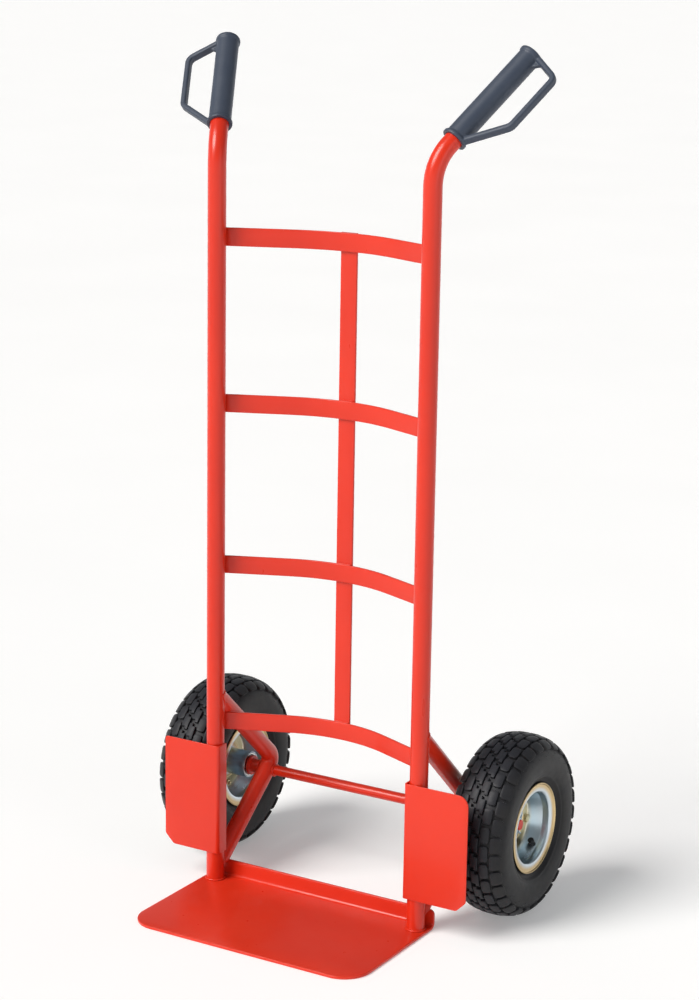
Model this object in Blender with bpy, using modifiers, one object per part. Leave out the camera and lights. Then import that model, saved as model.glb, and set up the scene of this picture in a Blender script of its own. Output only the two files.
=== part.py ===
"""Two-wheeled hand truck: a welded tube frame with bowed rungs, a toe plate and pneumatic wheels.

Metres, +Z up. The toe plate points to -Y, and the wheels turn about X. The origin is on the
floor, below the middle of the whole object. The frame's own zero, to which the lengths below
refer, is an empty: midway between the uprights' axes, on the top face of the toe plate.
"""

import math

import bmesh
import bpy
from mathutils import Matrix, Vector

# Gaps
REST_GAP = 0.0003  # between fixed pieces that touch
RUN_GAP = 0.0005  # beside a piece that turns
CUT_PAST = 0.010  # how far a cutter runs past what it cuts

# Frame tubes
UPRIGHT_SPACING = 0.328
TUBE_RADIUS = 0.0125
TUBE_WALL = 0.0015
BEND_CORNER_HEIGHT = 1.0365
BEND_RADIUS = 0.070
HANDLE_LEAN_OUT = 0.351
HANDLE_LEAN_BACK = 0.657

# Grips, measured along the tilted end of an upright
GRIP_START = 0.0395
GRIP_LENGTH = 0.158
GRIP_WALL = 0.0027
GRIP_COLLAR_STEP = 0.002
GRIP_COLLAR_LENGTH = 0.005
GRIP_END_WALL = 0.007
GUARD_BAR_RADIUS = 0.0050
GUARD_BAR_CLEARANCE = 0.0368  # finger room between the grip and the knuckle bar
GUARD_BAR_LOW = 0.050
GUARD_BAR_DROP = 0.021  # from the grip's top to the bar's upper corner
GUARD_BAR_CORNER = 0.010

# Rungs and the strap behind them
RUNG_COUNT = 4
TOP_RUNG_DROP = 0.1215  # from the handles' corner to the top rung's middle
LOW_RUNG_HEIGHT = 0.2319
BAR_HEIGHT = 0.025
BAR_THICKNESS = 0.004
RUNG_LEG_ANGLE = math.radians(22.8)
RUNG_BOW_RADIUS = 0.199
RUNG_TAIL = 0.006
STRAP_WIDTH = 0.025
STRAP_THICKNESS = 0.004

# Toe plate
PLATE_OVERHANG = 0.0175  # past the uprights' axes
PLATE_REACH = 0.1915
PLATE_THICKNESS = 0.004
PLATE_CORNER = 0.040
UPSTAND_CLEARANCE = 0.006  # behind the uprights
UPSTAND_HEIGHT = 0.023
UPSTAND_BEND = 0.005
UPSTAND_CORNER = 0.007

# Wheel guards
SHEET_THICKNESS = 0.002
GUARD_REACH = {"left": 0.0757, "right": 0.0829}  # outwards from an upright's axis
GUARD_LOW = {"left": 0.0432, "right": 0.0460}
GUARD_HIGH = {"left": 0.2032, "right": 0.2098}
GUARD_FLANGE_DEPTH = 0.019
GUARD_BEND = 0.003
GUARD_CHAMFER = 0.014
GUARD_TOP_CORNER = {"left": 0.004, "right": 0.015}

# Axle and its brackets
TYRE_CLEARANCE = 0.010  # from the uprights' axes back to the tyres
AXLE_RADIUS = 0.0075
AXLE_END = 0.006  # past the outer washer
BRACKET_RISE = 0.030  # from the lowest rung's middle to the bracket's upper end
BRACKET_FOOT = 0.0265
BRACKET_BEND = 0.016
BRACKET_CORNER_BACK = 0.0135  # from the axle back to the V's sharp corner
BRACKET_CORNER_RISE = 0.0145  # and up to it
COLLAR_FLANGE_REACH = 0.007  # past the axle's surface
COLLAR_FLANGE = 0.004
COLLAR_WALL = 0.0025
WASHER_REACH = 0.0065
WASHER_THICKNESS = 0.002
PIN_RADIUS = 0.0013
PIN_EYE_RADIUS = 0.0038
PIN_EYE_TURN = math.radians(280)
PIN_TAIL = 0.003

# Wheels: each is drawn with its outer side towards its own +Z
HUB_CLEARANCE = 0.0175  # between the bracket and the hub
TYRE_RADIUS = 0.127
TYRE_HALF_WIDTH = 0.044
TYRE_WIDEST_DROP = 0.0022  # the widest point, below the middle of the sidewall
TYRE_CROWN = 0.0065
TYRE_SIDEWALL = 0.0055
TYRE_POWER = 2.7
OUTSIDE_START = -35  # degrees below the section's middle
INSIDE_START = -30
BEAD_WIDTH = 0.006
BEAD_CORNER = 0.004
TUBE_SKIN = 0.002
RIM_HALF_WIDTH = 0.0315
RIM_SEAT_RADIUS = 0.0517
RIM_FLANGE_RADIUS = 0.0634
RIM_SHEET = 0.002
RIM_SEAT_WIDTH = 0.008
RIM_LIP = 0.0016
RIM_DISC_RADIUS = 0.042
HUB_GAP = 0.0115  # from the axle's surface to the hub's outside
HUB_WALL = 0.0012
HUB_INBOARD = 0.043
HUB_OUTBOARD = 0.005
BEARING_WIDTH = 0.011
RACE_THICKNESS = 0.0028
BALL_COUNT = 7
BALL_RADIUS = 0.0026
CAGE_HEIGHT = 0.0012
CAGE_WIDTH = 0.0034
BOLT_COUNT = 4
BOLT_FIRST_ANGLE = math.radians(-5)  # in the YZ plane, from +Y towards +Z
BOLT_CIRCLE_RADIUS = 0.035
BOLT_RADIUS = 0.003
BOLT_HEX_RADIUS = 0.0058
BOLT_HEAD = 0.0042
NUT_HEIGHT = 0.005
BOLT_TAIL = 0.0015
VALVE_RADIUS = 0.004
VALVE_BORE_RADIUS = 0.001
VALVE_LENGTH = 0.017
VALVE_OFFSET = 0.017  # from the wheel's middle plane to the valve's axis

# Fineness
TUBE_BEVEL = 6  # 16 sides
BEND_STEPS = 6
WHEEL_STEPS = 20
BORE_STEPS = 24
SMALL_STEPS = 16
SECTION_STEPS = 8
BOLT_STEPS = 8
BALL_SEGMENTS = 5
BALL_RINGS = 4
GROOVE_STEPS = 2
PIN_EYE_STEPS = 8
TRIM_STEPS = 5
BAR_CORNER_STEPS = 3
BOW_STEPS = 14

UPRIGHT_X = UPRIGHT_SPACING / 2
TOP_RUNG_HEIGHT = BEND_CORNER_HEIGHT - TOP_RUNG_DROP
RUNG_SPACING = (TOP_RUNG_HEIGHT - LOW_RUNG_HEIGHT) / (RUNG_COUNT - 1)
BRACKET_TOP = LOW_RUNG_HEIGHT + BRACKET_RISE
GRIP_RADIUS = TUBE_RADIUS + GRIP_WALL
GRIP_COLLAR_RADIUS = GRIP_RADIUS + GRIP_COLLAR_STEP
GUARD_BAR_OFFSET = GRIP_RADIUS + GUARD_BAR_CLEARANCE + GUARD_BAR_RADIUS
PLATE_HALF_WIDTH = UPRIGHT_X + PLATE_OVERHANG
UPSTAND_SETBACK = TUBE_RADIUS + UPSTAND_CLEARANCE
BRACKET_FACE_X = UPRIGHT_X + TUBE_RADIUS
WHEEL_X = BRACKET_FACE_X + HUB_CLEARANCE + HUB_INBOARD
TYRE_SECTION_CENTRE = (RIM_FLANGE_RADIUS + TYRE_RADIUS) / 2 - TYRE_WIDEST_DROP
AXLE_SETBACK = TYRE_RADIUS + TYRE_CLEARANCE
DEPTH_BACK = AXLE_SETBACK + TYRE_RADIUS
FRAME_Y = (PLATE_REACH - DEPTH_BACK) / 2
AXLE_HEIGHT = TYRE_RADIUS - PLATE_THICKNESS
HUB_RADIUS = AXLE_RADIUS + HUB_GAP
COLLAR_FLANGE_RADIUS = AXLE_RADIUS + COLLAR_FLANGE_REACH
COLLAR_SLEEVE_RADIUS = AXLE_RADIUS + COLLAR_WALL
WASHER_RADIUS = AXLE_RADIUS + WASHER_REACH
HANDLE_RISE = math.sqrt(1 - HANDLE_LEAN_OUT**2 - HANDLE_LEAN_BACK**2)
GRIP_BORE = GRIP_LENGTH - GRIP_END_WALL
HUB_END_X = WHEEL_X + HUB_OUTBOARD
AXLE_HALF_LENGTH = HUB_END_X + RUN_GAP + WASHER_THICKNESS + AXLE_END
SIDES = (("left", -1), ("right", 1))
FRONT = Vector((0, -1, 0))
BACK = Vector((0, 1, 0))
DOWN = Vector((0, 0, -1))
UPRIGHT_TURN = Matrix.Rotation(math.pi / 2, 4, "X")  # stands a plan view up, facing the front


def clear_scene():
    for obj in list(bpy.data.objects):
        bpy.data.objects.remove(obj, do_unlink=True)


def new_collection(name):
    made = bpy.data.collections.new(name)
    bpy.context.scene.collection.children.link(made)
    return made


def new_material(name, colour, roughness, metallic):
    made = bpy.data.materials.new(name)
    made.use_nodes = True
    shader = made.node_tree.nodes["Principled BSDF"]
    shader.inputs["Base Color"].default_value = (*colour, 1)
    shader.inputs["Roughness"].default_value = roughness
    shader.inputs["Metallic"].default_value = metallic
    return made


clear_scene()
PARTS = new_collection("hand_truck")
CUTTERS = new_collection("cutters")
RED = new_material("red_paint", (0.80, 0.055, 0.030), 0.32, 0.0)
GRIP = new_material("grip_plastic", (0.045, 0.065, 0.105), 0.55, 0.0)
RUBBER = new_material("tyre_rubber", (0.022, 0.022, 0.026), 0.70, 0.0)
ZINC = new_material("zinc_plate", (0.62, 0.63, 0.62), 0.28, 1.0)
STEEL = new_material("bearing_steel", (0.56, 0.57, 0.58), 0.20, 1.0)


def new_empty(name, location, turn=0.0, parent=None):
    made = bpy.data.objects.new(name, None)
    made.parent = parent
    made.location = location
    made.rotation_euler = (0, turn, 0)
    PARTS.objects.link(made)
    return made


FRAME = new_empty("frame_zero", (0, FRAME_Y, PLATE_THICKNESS))
WHEELS = {}
for side, sign in SIDES:
    centre = (sign * WHEEL_X, AXLE_SETBACK, AXLE_HEIGHT)
    WHEELS[side] = new_empty(f"wheel_axis_{side}", centre, sign * math.pi / 2, FRAME)


def place(obj, material, parent, location=(0, 0, 0), cutter=False):
    """Puts an object in its collection, under its parent."""
    obj.parent = parent
    obj.location = location
    if cutter:
        obj.hide_render = True
        obj.display_type = "WIRE"
        CUTTERS.objects.link(obj)
        return obj
    obj.data.materials.append(material)
    PARTS.objects.link(obj)
    return obj


def finish_mesh(name, bm):
    bmesh.ops.recalc_face_normals(bm, faces=bm.faces)
    mesh = bpy.data.meshes.new(name)
    bm.to_mesh(mesh)
    bm.free()
    mesh.shade_smooth()
    mesh.set_sharp_from_angle(angle=math.radians(35))
    return mesh


def boolean(obj, other, operation):
    modifier = obj.modifiers.new(operation.lower(), "BOOLEAN")
    modifier.object = other
    modifier.operation = operation
    modifier.solver = "EXACT"


def cylinder(name, radius, low, high, steps=BORE_STEPS, axis="Z"):
    """A cylinder mesh between two heights on an axis."""
    bm = bmesh.new()
    bmesh.ops.create_cone(
        bm, cap_ends=True, segments=steps, radius1=radius, radius2=radius, depth=high - low
    )
    bmesh.ops.translate(bm, vec=(0, 0, (low + high) / 2), verts=bm.verts)
    turns = {"Z": Matrix(), "X": Matrix.Rotation(math.pi / 2, 4, "Y")}
    bmesh.ops.transform(bm, matrix=turns[axis], verts=bm.verts)
    return bpy.data.objects.new(name, finish_mesh(name, bm))


def box(name, low, high):
    bm = bmesh.new()
    size = Vector(high) - Vector(low)
    centre = (Vector(high) + Vector(low)) / 2
    bmesh.ops.create_cube(bm, size=1, matrix=Matrix.Translation(centre) @ Matrix.Diagonal((*size, 1)))
    return bpy.data.objects.new(name, finish_mesh(name, bm))


def filleted(corners, radius, steps=BEND_STEPS):
    """The points of a line through corners, with an arc at each inner one."""
    corners = [Vector(corner) for corner in corners]
    points = [corners[0]]
    for before, corner, after in zip(corners, corners[1:], corners[2:]):
        back = (before - corner).normalized()
        ahead = (after - corner).normalized()
        half = back.angle(ahead) / 2
        reach = radius / math.tan(half)
        centre = corner + (back + ahead).normalized() * radius / math.sin(half)
        first = corner + back * reach - centre
        last = corner + ahead * reach - centre
        sweep = first.angle(last)
        for step in range(steps + 1):
            to_go = (1 - step / steps) * sweep
            mixed = first * math.sin(to_go) + last * math.sin(sweep - to_go)
            points.append(centre + mixed / math.sin(sweep))
    points.append(corners[-1])
    return points


def tube_mesh(name, points, radius, bevel, capped):
    """The mesh of a round tube along points, open-ended or with its ends closed."""
    curve = bpy.data.curves.new(name, "CURVE")
    curve.dimensions = "3D"
    curve.bevel_depth = radius
    curve.bevel_resolution = bevel
    curve.use_fill_caps = capped
    spline = curve.splines.new("POLY")
    spline.points.add(len(points) - 1)
    for control, point in zip(spline.points, points):
        control.co = (*point, 1)
    guide = bpy.data.objects.new(name, curve)
    CUTTERS.objects.link(guide)
    bpy.context.view_layer.update()
    graph = bpy.context.evaluated_depsgraph_get()
    mesh = bpy.data.meshes.new_from_object(guide.evaluated_get(graph))
    bpy.data.objects.remove(guide)
    bpy.data.curves.remove(curve)
    bm = bmesh.new()
    bm.from_mesh(mesh)
    bmesh.ops.remove_doubles(bm, verts=bm.verts, dist=1e-6)
    bpy.data.meshes.remove(mesh)
    return finish_mesh(name, bm)


def hollow_tube(name, points):
    """A frame tube with open ends."""
    obj = bpy.data.objects.new(name, tube_mesh(name, points, TUBE_RADIUS, TUBE_BEVEL, False))
    wall = obj.modifiers.new("wall", "SOLIDIFY")
    wall.thickness = TUBE_WALL
    wall.offset = -1
    wall.use_even_offset = True
    return obj


def turned(name, outline, steps, closed=True):
    """A solid turned about its own Z from (radius, height) points."""
    area = sum(a[0] * b[1] - b[0] * a[1] for a, b in zip(outline, outline[1:] + outline[:1]))
    ordered = outline if area < 0 else outline[::-1]
    bm = bmesh.new()
    verts = [bm.verts.new((radius, 0, height)) for radius, height in ordered]
    for a, b in zip(verts, verts[1:] + verts[:1] if closed else verts[1:]):
        bm.edges.new((a, b))
    mesh = bpy.data.meshes.new(name)
    bm.to_mesh(mesh)
    bm.free()
    obj = bpy.data.objects.new(name, mesh)
    screw = obj.modifiers.new("turn", "SCREW")
    screw.steps = steps
    screw.render_steps = steps
    screw.use_merge_vertices = True
    screw.merge_threshold = 1e-5
    screw.use_smooth_shade = True
    return obj


def ring(name, inner, outer, low, high, steps=SMALL_STEPS):
    return turned(name, [(inner, low), (inner, high), (outer, high), (outer, low)], steps)


def lift(bm, extruded, height):
    """Raises the new points of an extrusion."""
    verts = [item for item in extruded if isinstance(item, bmesh.types.BMVert)]
    bmesh.ops.translate(bm, vec=(0, 0, height), verts=verts)


def sheet(name, path, low, high, thickness, grow, turn=None):
    """A bent sheet: a path in the XY plane raised along Z from low to high.

    Its thickness lies on the side of the path that grow points to from the first stretch.
    """
    bm = bmesh.new()
    verts = [bm.verts.new((point[0], point[1], low)) for point in path]
    edges = [bm.edges.new(pair) for pair in zip(verts, verts[1:])]
    lift(bm, bmesh.ops.extrude_edge_only(bm, edges=edges)["geom"], high - low)
    if turn:
        bmesh.ops.transform(bm, matrix=turn, verts=bm.verts)
    obj = bpy.data.objects.new(name, finish_mesh(name, bm))
    wall = obj.modifiers.new("thickness", "SOLIDIFY")
    wall.thickness = thickness
    wall.offset = math.copysign(1, obj.data.polygons[0].normal.dot(grow))
    wall.use_even_offset = True
    return obj


def prism(name, outline, low, high, turn=None):
    """A block with an outline in the XY plane, from low to high."""
    bm = bmesh.new()
    face = bm.faces.new([bm.verts.new((point[0], point[1], low)) for point in outline])
    lift(bm, bmesh.ops.extrude_face_region(bm, geom=[face])["geom"], high - low)
    if turn:
        bmesh.ops.transform(bm, matrix=turn, verts=bm.verts)
    return bpy.data.objects.new(name, finish_mesh(name, bm))


def rounded(corners, radii, steps=BEND_STEPS):
    """An outline whose corners are arcs; a radius of 0 keeps its corner sharp."""
    points = []
    count = len(corners)
    for index, radius in enumerate(radii):
        corner = Vector(corners[index])
        if not radius:
            points.append(corner)
            continue
        before = Vector(corners[index - 1])
        after = Vector(corners[(index + 1) % count])
        points += filleted([before, corner, after], radius, steps)[1:-1]
    return points


# Uprights and grips
def handle_direction(sign):
    return Vector((sign * HANDLE_LEAN_OUT, HANDLE_LEAN_BACK, HANDLE_RISE))


def bend_corner(sign):
    return Vector((sign * UPRIGHT_X, 0, BEND_CORNER_HEIGHT))


def build_upright(side, sign):
    corner = bend_corner(sign)
    foot = Vector((sign * UPRIGHT_X, 0, REST_GAP))
    tip = corner + handle_direction(sign) * (GRIP_START + GRIP_BORE - 2 * REST_GAP)
    obj = hollow_tube(f"upright_{side}", filleted([foot, corner, tip], BEND_RADIUS))
    place(obj, RED, FRAME)


def grip_frame(sign):
    """The grip's own axes: Z along the tube, X outwards in the plane of the knuckle guard."""
    along = handle_direction(sign)
    outward = Vector((sign, 0, 0))
    outward = (outward - along * outward.dot(along)).normalized()
    across = along.cross(outward)
    turn = Matrix((outward, across, along)).transposed().to_4x4()
    return Matrix.Translation(bend_corner(sign) + along * GRIP_START) @ turn


def build_grip(side, sign):
    collar_top = GRIP_COLLAR_LENGTH
    cap_low = GRIP_LENGTH - GRIP_COLLAR_LENGTH
    outline = [
        (0, GRIP_LENGTH),
        (GRIP_COLLAR_RADIUS, GRIP_LENGTH),
        (GRIP_COLLAR_RADIUS, cap_low),
        (GRIP_RADIUS, cap_low),
        (GRIP_RADIUS, collar_top),
        (GRIP_COLLAR_RADIUS, collar_top),
        (GRIP_COLLAR_RADIUS, 0),
        (0, 0),
    ]
    grip = turned(f"handle_grip_{side}", outline, BORE_STEPS, closed=False)
    low = GRIP_COLLAR_LENGTH + GUARD_BAR_RADIUS / 2
    high = GRIP_LENGTH - low
    path = filleted(
        [
            (TUBE_RADIUS, 0, low),
            (GUARD_BAR_OFFSET, 0, GUARD_BAR_LOW),
            (GUARD_BAR_OFFSET, 0, GRIP_LENGTH - GUARD_BAR_DROP),
            (TUBE_RADIUS, 0, high),
        ],
        GUARD_BAR_CORNER,
        BAR_CORNER_STEPS,
    )
    bar_mesh = tube_mesh("knuckle_bar", path, GUARD_BAR_RADIUS, 3, True)
    bar = bpy.data.objects.new(f"knuckle_bar_{side}", bar_mesh)
    bore = cylinder(f"grip_bore_{side}", TUBE_RADIUS + REST_GAP, -CUT_PAST, GRIP_BORE)
    place(grip, GRIP, FRAME)
    place(bar, None, FRAME, cutter=True)
    place(bore, None, FRAME, cutter=True)
    for obj in (grip, bar, bore):
        obj.matrix_local = grip_frame(sign)
    boolean(grip, bar, "UNION")
    boolean(grip, bore, "DIFFERENCE")


# Rungs, strap and toe plate
def rung_low(index):
    """The height of a rung's lower edge, counted from the top rung."""
    return TOP_RUNG_HEIGHT - index * RUNG_SPACING - BAR_HEIGHT / 2


def rung_leg_y(x):
    """How far back the front face of a rung's straight leg is, at a distance from the middle."""
    touch = TUBE_RADIUS + REST_GAP
    return touch / math.cos(RUNG_LEG_ANGLE) + math.tan(RUNG_LEG_ANGLE) * (UPRIGHT_X - x)


def rung_front_path():
    """The front face's line in plan: a bow between two straight legs that lie against the uprights."""
    touch = (TUBE_RADIUS + REST_GAP) * math.sin(RUNG_LEG_ANGLE)
    end_x = UPRIGHT_X - touch + RUNG_TAIL * math.cos(RUNG_LEG_ANGLE)
    ends = [(side * end_x, rung_leg_y(end_x), 0) for _, side in SIDES]
    return filleted([ends[0], (0, rung_leg_y(0), 0), ends[1]], RUNG_BOW_RADIUS, BOW_STEPS)


def rung_peak():
    return max(point[1] for point in rung_front_path())


def build_rungs():
    for index in range(RUNG_COUNT):
        low = rung_low(index)
        rung = sheet(f"rung_{index + 1}", rung_front_path(), low, low + BAR_HEIGHT, BAR_THICKNESS, BACK)
        place(rung, RED, FRAME)


def build_strap():
    front = rung_peak() + BAR_THICKNESS + REST_GAP
    low = rung_low(RUNG_COUNT - 1)
    high = rung_low(0) + BAR_HEIGHT
    half = STRAP_WIDTH / 2
    strap = box("centre_strap", (-half, front, low), (half, front + STRAP_THICKNESS, high))
    place(strap, RED, FRAME)


def build_toe_plate():
    half = PLATE_HALF_WIDTH
    # In the path's own plane, X is the plate's Y and Y is its Z; the turn brings it upright.
    corners = [(-PLATE_REACH, 0, 0), (UPSTAND_SETBACK, 0, 0), (UPSTAND_SETBACK, UPSTAND_HEIGHT, 0)]
    path = filleted(corners, UPSTAND_BEND)
    turn = Matrix(((0, 0, 1, 0), (1, 0, 0, 0), (0, 1, 0, 0), (0, 0, 0, 1)))
    plate = sheet("toe_plate", path, -half, half, PLATE_THICKNESS, DOWN, turn)
    back = UPSTAND_SETBACK + 2 * PLATE_THICKNESS
    plan = rounded(
        [(-half, -PLATE_REACH), (half, -PLATE_REACH), (half, back), (-half, back)],
        [PLATE_CORNER, PLATE_CORNER, 0, 0],
    )
    plan_trim = prism("toe_plate_plan", plan, -UPSTAND_HEIGHT, UPSTAND_HEIGHT + CUT_PAST)
    drop = -2 * PLATE_THICKNESS
    front_view = rounded(
        [(-half, drop), (half, drop), (half, UPSTAND_HEIGHT), (-half, UPSTAND_HEIGHT)],
        [0, 0, UPSTAND_CORNER, UPSTAND_CORNER],
    )
    reach = PLATE_REACH + CUT_PAST
    front_trim = prism("toe_plate_front", front_view, -reach, reach, UPRIGHT_TURN)
    place(plate, RED, FRAME)
    for trim in (plan_trim, front_trim):
        place(trim, None, FRAME, cutter=True)
        boolean(plate, trim, "INTERSECT")


def build_guard(side, sign):
    inner = UPRIGHT_X - TUBE_RADIUS - REST_GAP
    outer = UPRIGHT_X + GUARD_REACH[side]
    low = GUARD_LOW[side]
    high = GUARD_HIGH[side]
    front = -TUBE_RADIUS - REST_GAP
    flange_end = front + GUARD_FLANGE_DEPTH
    path = filleted(
        [(sign * outer, front, 0), (sign * inner, front, 0), (sign * inner, flange_end, 0)],
        GUARD_BEND,
        4,
    )
    guard = sheet(f"wheel_guard_{side}", path, low, high, SHEET_THICKNESS, FRONT)
    reach = inner - 2 * SHEET_THICKNESS
    corners = [
        (sign * reach, low),
        (sign * (outer - GUARD_CHAMFER), low),
        (sign * outer, low + GUARD_CHAMFER),
        (sign * outer, high),
        (sign * reach, high),
    ]
    radii = [0, GUARD_TOP_CORNER["left"], GUARD_TOP_CORNER["left"], GUARD_TOP_CORNER[side], 0]
    depth = TUBE_RADIUS + GUARD_FLANGE_DEPTH
    trim = prism(f"guard_trim_{side}", rounded(corners, radii, TRIM_STEPS), -depth, depth, UPRIGHT_TURN)
    place(guard, RED, FRAME)
    place(trim, None, FRAME, cutter=True)
    boolean(guard, trim, "INTERSECT")


# Axle, brackets and what holds the wheels on
def bracket_corners():
    """The V's upper end, sharp corner and foot as (Y, Z); the axle passes through its bend."""
    top = (0, BRACKET_TOP + TUBE_RADIUS)
    corner = (AXLE_SETBACK + BRACKET_CORNER_BACK, AXLE_HEIGHT + BRACKET_CORNER_RISE)
    foot = (0, BRACKET_FOOT - TUBE_RADIUS)
    return top, corner, foot


def build_bracket(side, sign):
    x = sign * UPRIGHT_X
    corners = [(x, point[0], point[1]) for point in bracket_corners()]
    bracket = hollow_tube(f"axle_bracket_{side}", filleted(corners, BRACKET_BEND))
    reach = 3 * TUBE_RADIUS
    past_top = BRACKET_TOP + reach + CUT_PAST
    upright_space = cylinder(f"upright_space_{side}", TUBE_RADIUS + REST_GAP, -reach, past_top)
    axle_hole = cylinder(f"axle_hole_{side}", AXLE_RADIUS + REST_GAP, x - reach, x + reach, axis="X")
    foot_low = (x - reach, -reach, -reach)
    foot_high = (x + reach, AXLE_SETBACK, UPSTAND_HEIGHT + REST_GAP)
    foot_space = box(f"foot_space_{side}", foot_low, foot_high)
    rung_back = rung_leg_y(UPRIGHT_X - TUBE_RADIUS) + BAR_THICKNESS / math.cos(RUNG_LEG_ANGLE)
    rung_space = box(
        f"rung_space_{side}",
        (x - reach, -reach, rung_low(RUNG_COUNT - 1) - REST_GAP),
        (x + reach, rung_back + REST_GAP, rung_low(RUNG_COUNT - 1) + BAR_HEIGHT + REST_GAP),
    )
    place(bracket, RED, FRAME)
    place(upright_space, None, FRAME, (x, 0, 0), cutter=True)
    place(axle_hole, None, FRAME, (0, AXLE_SETBACK, AXLE_HEIGHT), cutter=True)
    place(foot_space, None, FRAME, cutter=True)
    place(rung_space, None, FRAME, cutter=True)
    for cutter in (upright_space, axle_hole, foot_space, rung_space):
        boolean(bracket, cutter, "DIFFERENCE")


def pin_x():
    return AXLE_HALF_LENGTH - AXLE_END / 2


def build_axle():
    axle = cylinder("axle", AXLE_RADIUS, -AXLE_HALF_LENGTH, AXLE_HALF_LENGTH, axis="X")
    place(axle, RED, FRAME, (0, AXLE_SETBACK, AXLE_HEIGHT))
    for side, sign in SIDES:
        reach = AXLE_RADIUS + CUT_PAST
        hole = cylinder(f"pin_hole_{side}", PIN_RADIUS + REST_GAP, -reach, reach, BOLT_STEPS)
        place(hole, None, FRAME, (sign * pin_x(), AXLE_SETBACK, AXLE_HEIGHT), cutter=True)
        boolean(axle, hole, "DIFFERENCE")


def build_axle_collar(side):
    """A flanged sleeve between the bracket and the hub."""
    bore = AXLE_RADIUS + REST_GAP
    low = BRACKET_FACE_X + REST_GAP - WHEEL_X
    high = -HUB_INBOARD - RUN_GAP
    flange = high - COLLAR_FLANGE
    outline = [
        (bore, low),
        (bore, high),
        (COLLAR_FLANGE_RADIUS, high),
        (COLLAR_FLANGE_RADIUS, flange),
        (COLLAR_SLEEVE_RADIUS, flange),
        (COLLAR_SLEEVE_RADIUS, low),
    ]
    place(turned(f"axle_collar_{side}", outline, SMALL_STEPS), RED, WHEELS[side])


def build_axle_washer(side):
    low = HUB_OUTBOARD + RUN_GAP
    bore = AXLE_RADIUS + REST_GAP
    washer = ring(f"axle_washer_{side}", bore, WASHER_RADIUS, low, low + WASHER_THICKNESS)
    place(washer, ZINC, WHEELS[side])


def build_split_pin(side, sign):
    """A wire pin: a bent tail below, a straight shank through the axle and an eye on top."""
    below = -AXLE_RADIUS - PIN_TAIL
    neck = AXLE_RADIUS + PIN_EYE_RADIUS + 2 * PIN_RADIUS
    path = [Vector((0, PIN_TAIL, below - PIN_TAIL)), Vector((0, 0, below)), Vector((0, 0, neck))]
    middle = Vector((0, PIN_EYE_RADIUS, neck))
    for step in range(1, PIN_EYE_STEPS + 1):
        angle = math.pi - step * PIN_EYE_TURN / PIN_EYE_STEPS
        path.append(middle + Vector((0, math.cos(angle), math.sin(angle))) * PIN_EYE_RADIUS)
    pin = bpy.data.objects.new(f"split_pin_{side}", tube_mesh("split_pin", path, PIN_RADIUS, 2, True))
    place(pin, ZINC, FRAME, (sign * pin_x(), AXLE_SETBACK, AXLE_HEIGHT))


# Wheels
def section(half_width, top, low_degrees, steps=SECTION_STEPS):
    """A rounded tyre section from its low outer side, over the crown, to the other side."""
    half_height = top - TYRE_SECTION_CENTRE
    points = []
    for step in range(steps + 1):
        angle = math.radians(low_degrees + (180 - 2 * low_degrees) * step / steps)
        c, s = math.cos(angle), math.sin(angle)
        points.append(
            (
                TYRE_SECTION_CENTRE + half_height * math.copysign(abs(s) ** (2 / TYRE_POWER), s),
                half_width * math.copysign(abs(c) ** (2 / TYRE_POWER), c),
            )
        )
    return points


def bead_outer():
    return RIM_HALF_WIDTH - REST_GAP


def tyre_outline():
    bead_radius = RIM_SEAT_RADIUS + REST_GAP
    lip = RIM_FLANGE_RADIUS + REST_GAP
    outer, inner = bead_outer(), bead_outer() - BEAD_WIDTH
    outside = section(TYRE_HALF_WIDTH, TYRE_RADIUS, OUTSIDE_START)
    inside = section(TYRE_HALF_WIDTH - TYRE_SIDEWALL, TYRE_RADIUS - TYRE_CROWN, INSIDE_START)
    bead = [
        (bead_radius, inner),
        (bead_radius, outer - BEAD_CORNER),
        (bead_radius + BEAD_CORNER, outer),
        (lip, outer),
    ]
    other_bead = [(radius, -height) for radius, height in bead[::-1]]
    return bead + outside + other_bead + inside[::-1]


def tube_outline(skin):
    """The inner tube's section, or that of the air in it when skin is its thickness."""
    gap = REST_GAP + skin
    low = RIM_SEAT_RADIUS + 2 * REST_GAP + skin
    side = bead_outer() - BEAD_WIDTH - gap
    arch = section(TYRE_HALF_WIDTH - TYRE_SIDEWALL - gap, TYRE_RADIUS - TYRE_CROWN - gap, INSIDE_START)
    return [(low, side)] + arch + [(low, -side)]


def wheel_angle(side, angle):
    """The angle about a wheel's own Z of a direction in the YZ plane."""
    return math.pi / 2 + angle if side == "right" else math.pi / 2 - angle


def polar(side, angle, radius, height):
    turn = wheel_angle(side, angle)
    return (radius * math.cos(turn), radius * math.sin(turn), height)


def valve_angle():
    return BOLT_FIRST_ANGLE - math.pi / BOLT_COUNT


def valve_cylinder(name, side, radius, low, high):
    """A cylinder that lies along a spoke of the wheel, at the valve."""
    obj = cylinder(name, radius, low, high, BOLT_STEPS, axis="X")
    place(obj, None, WHEELS[side], (0, 0, VALVE_OFFSET), cutter=True)
    obj.rotation_euler = (0, 0, wheel_angle(side, valve_angle()))
    return obj


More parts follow.
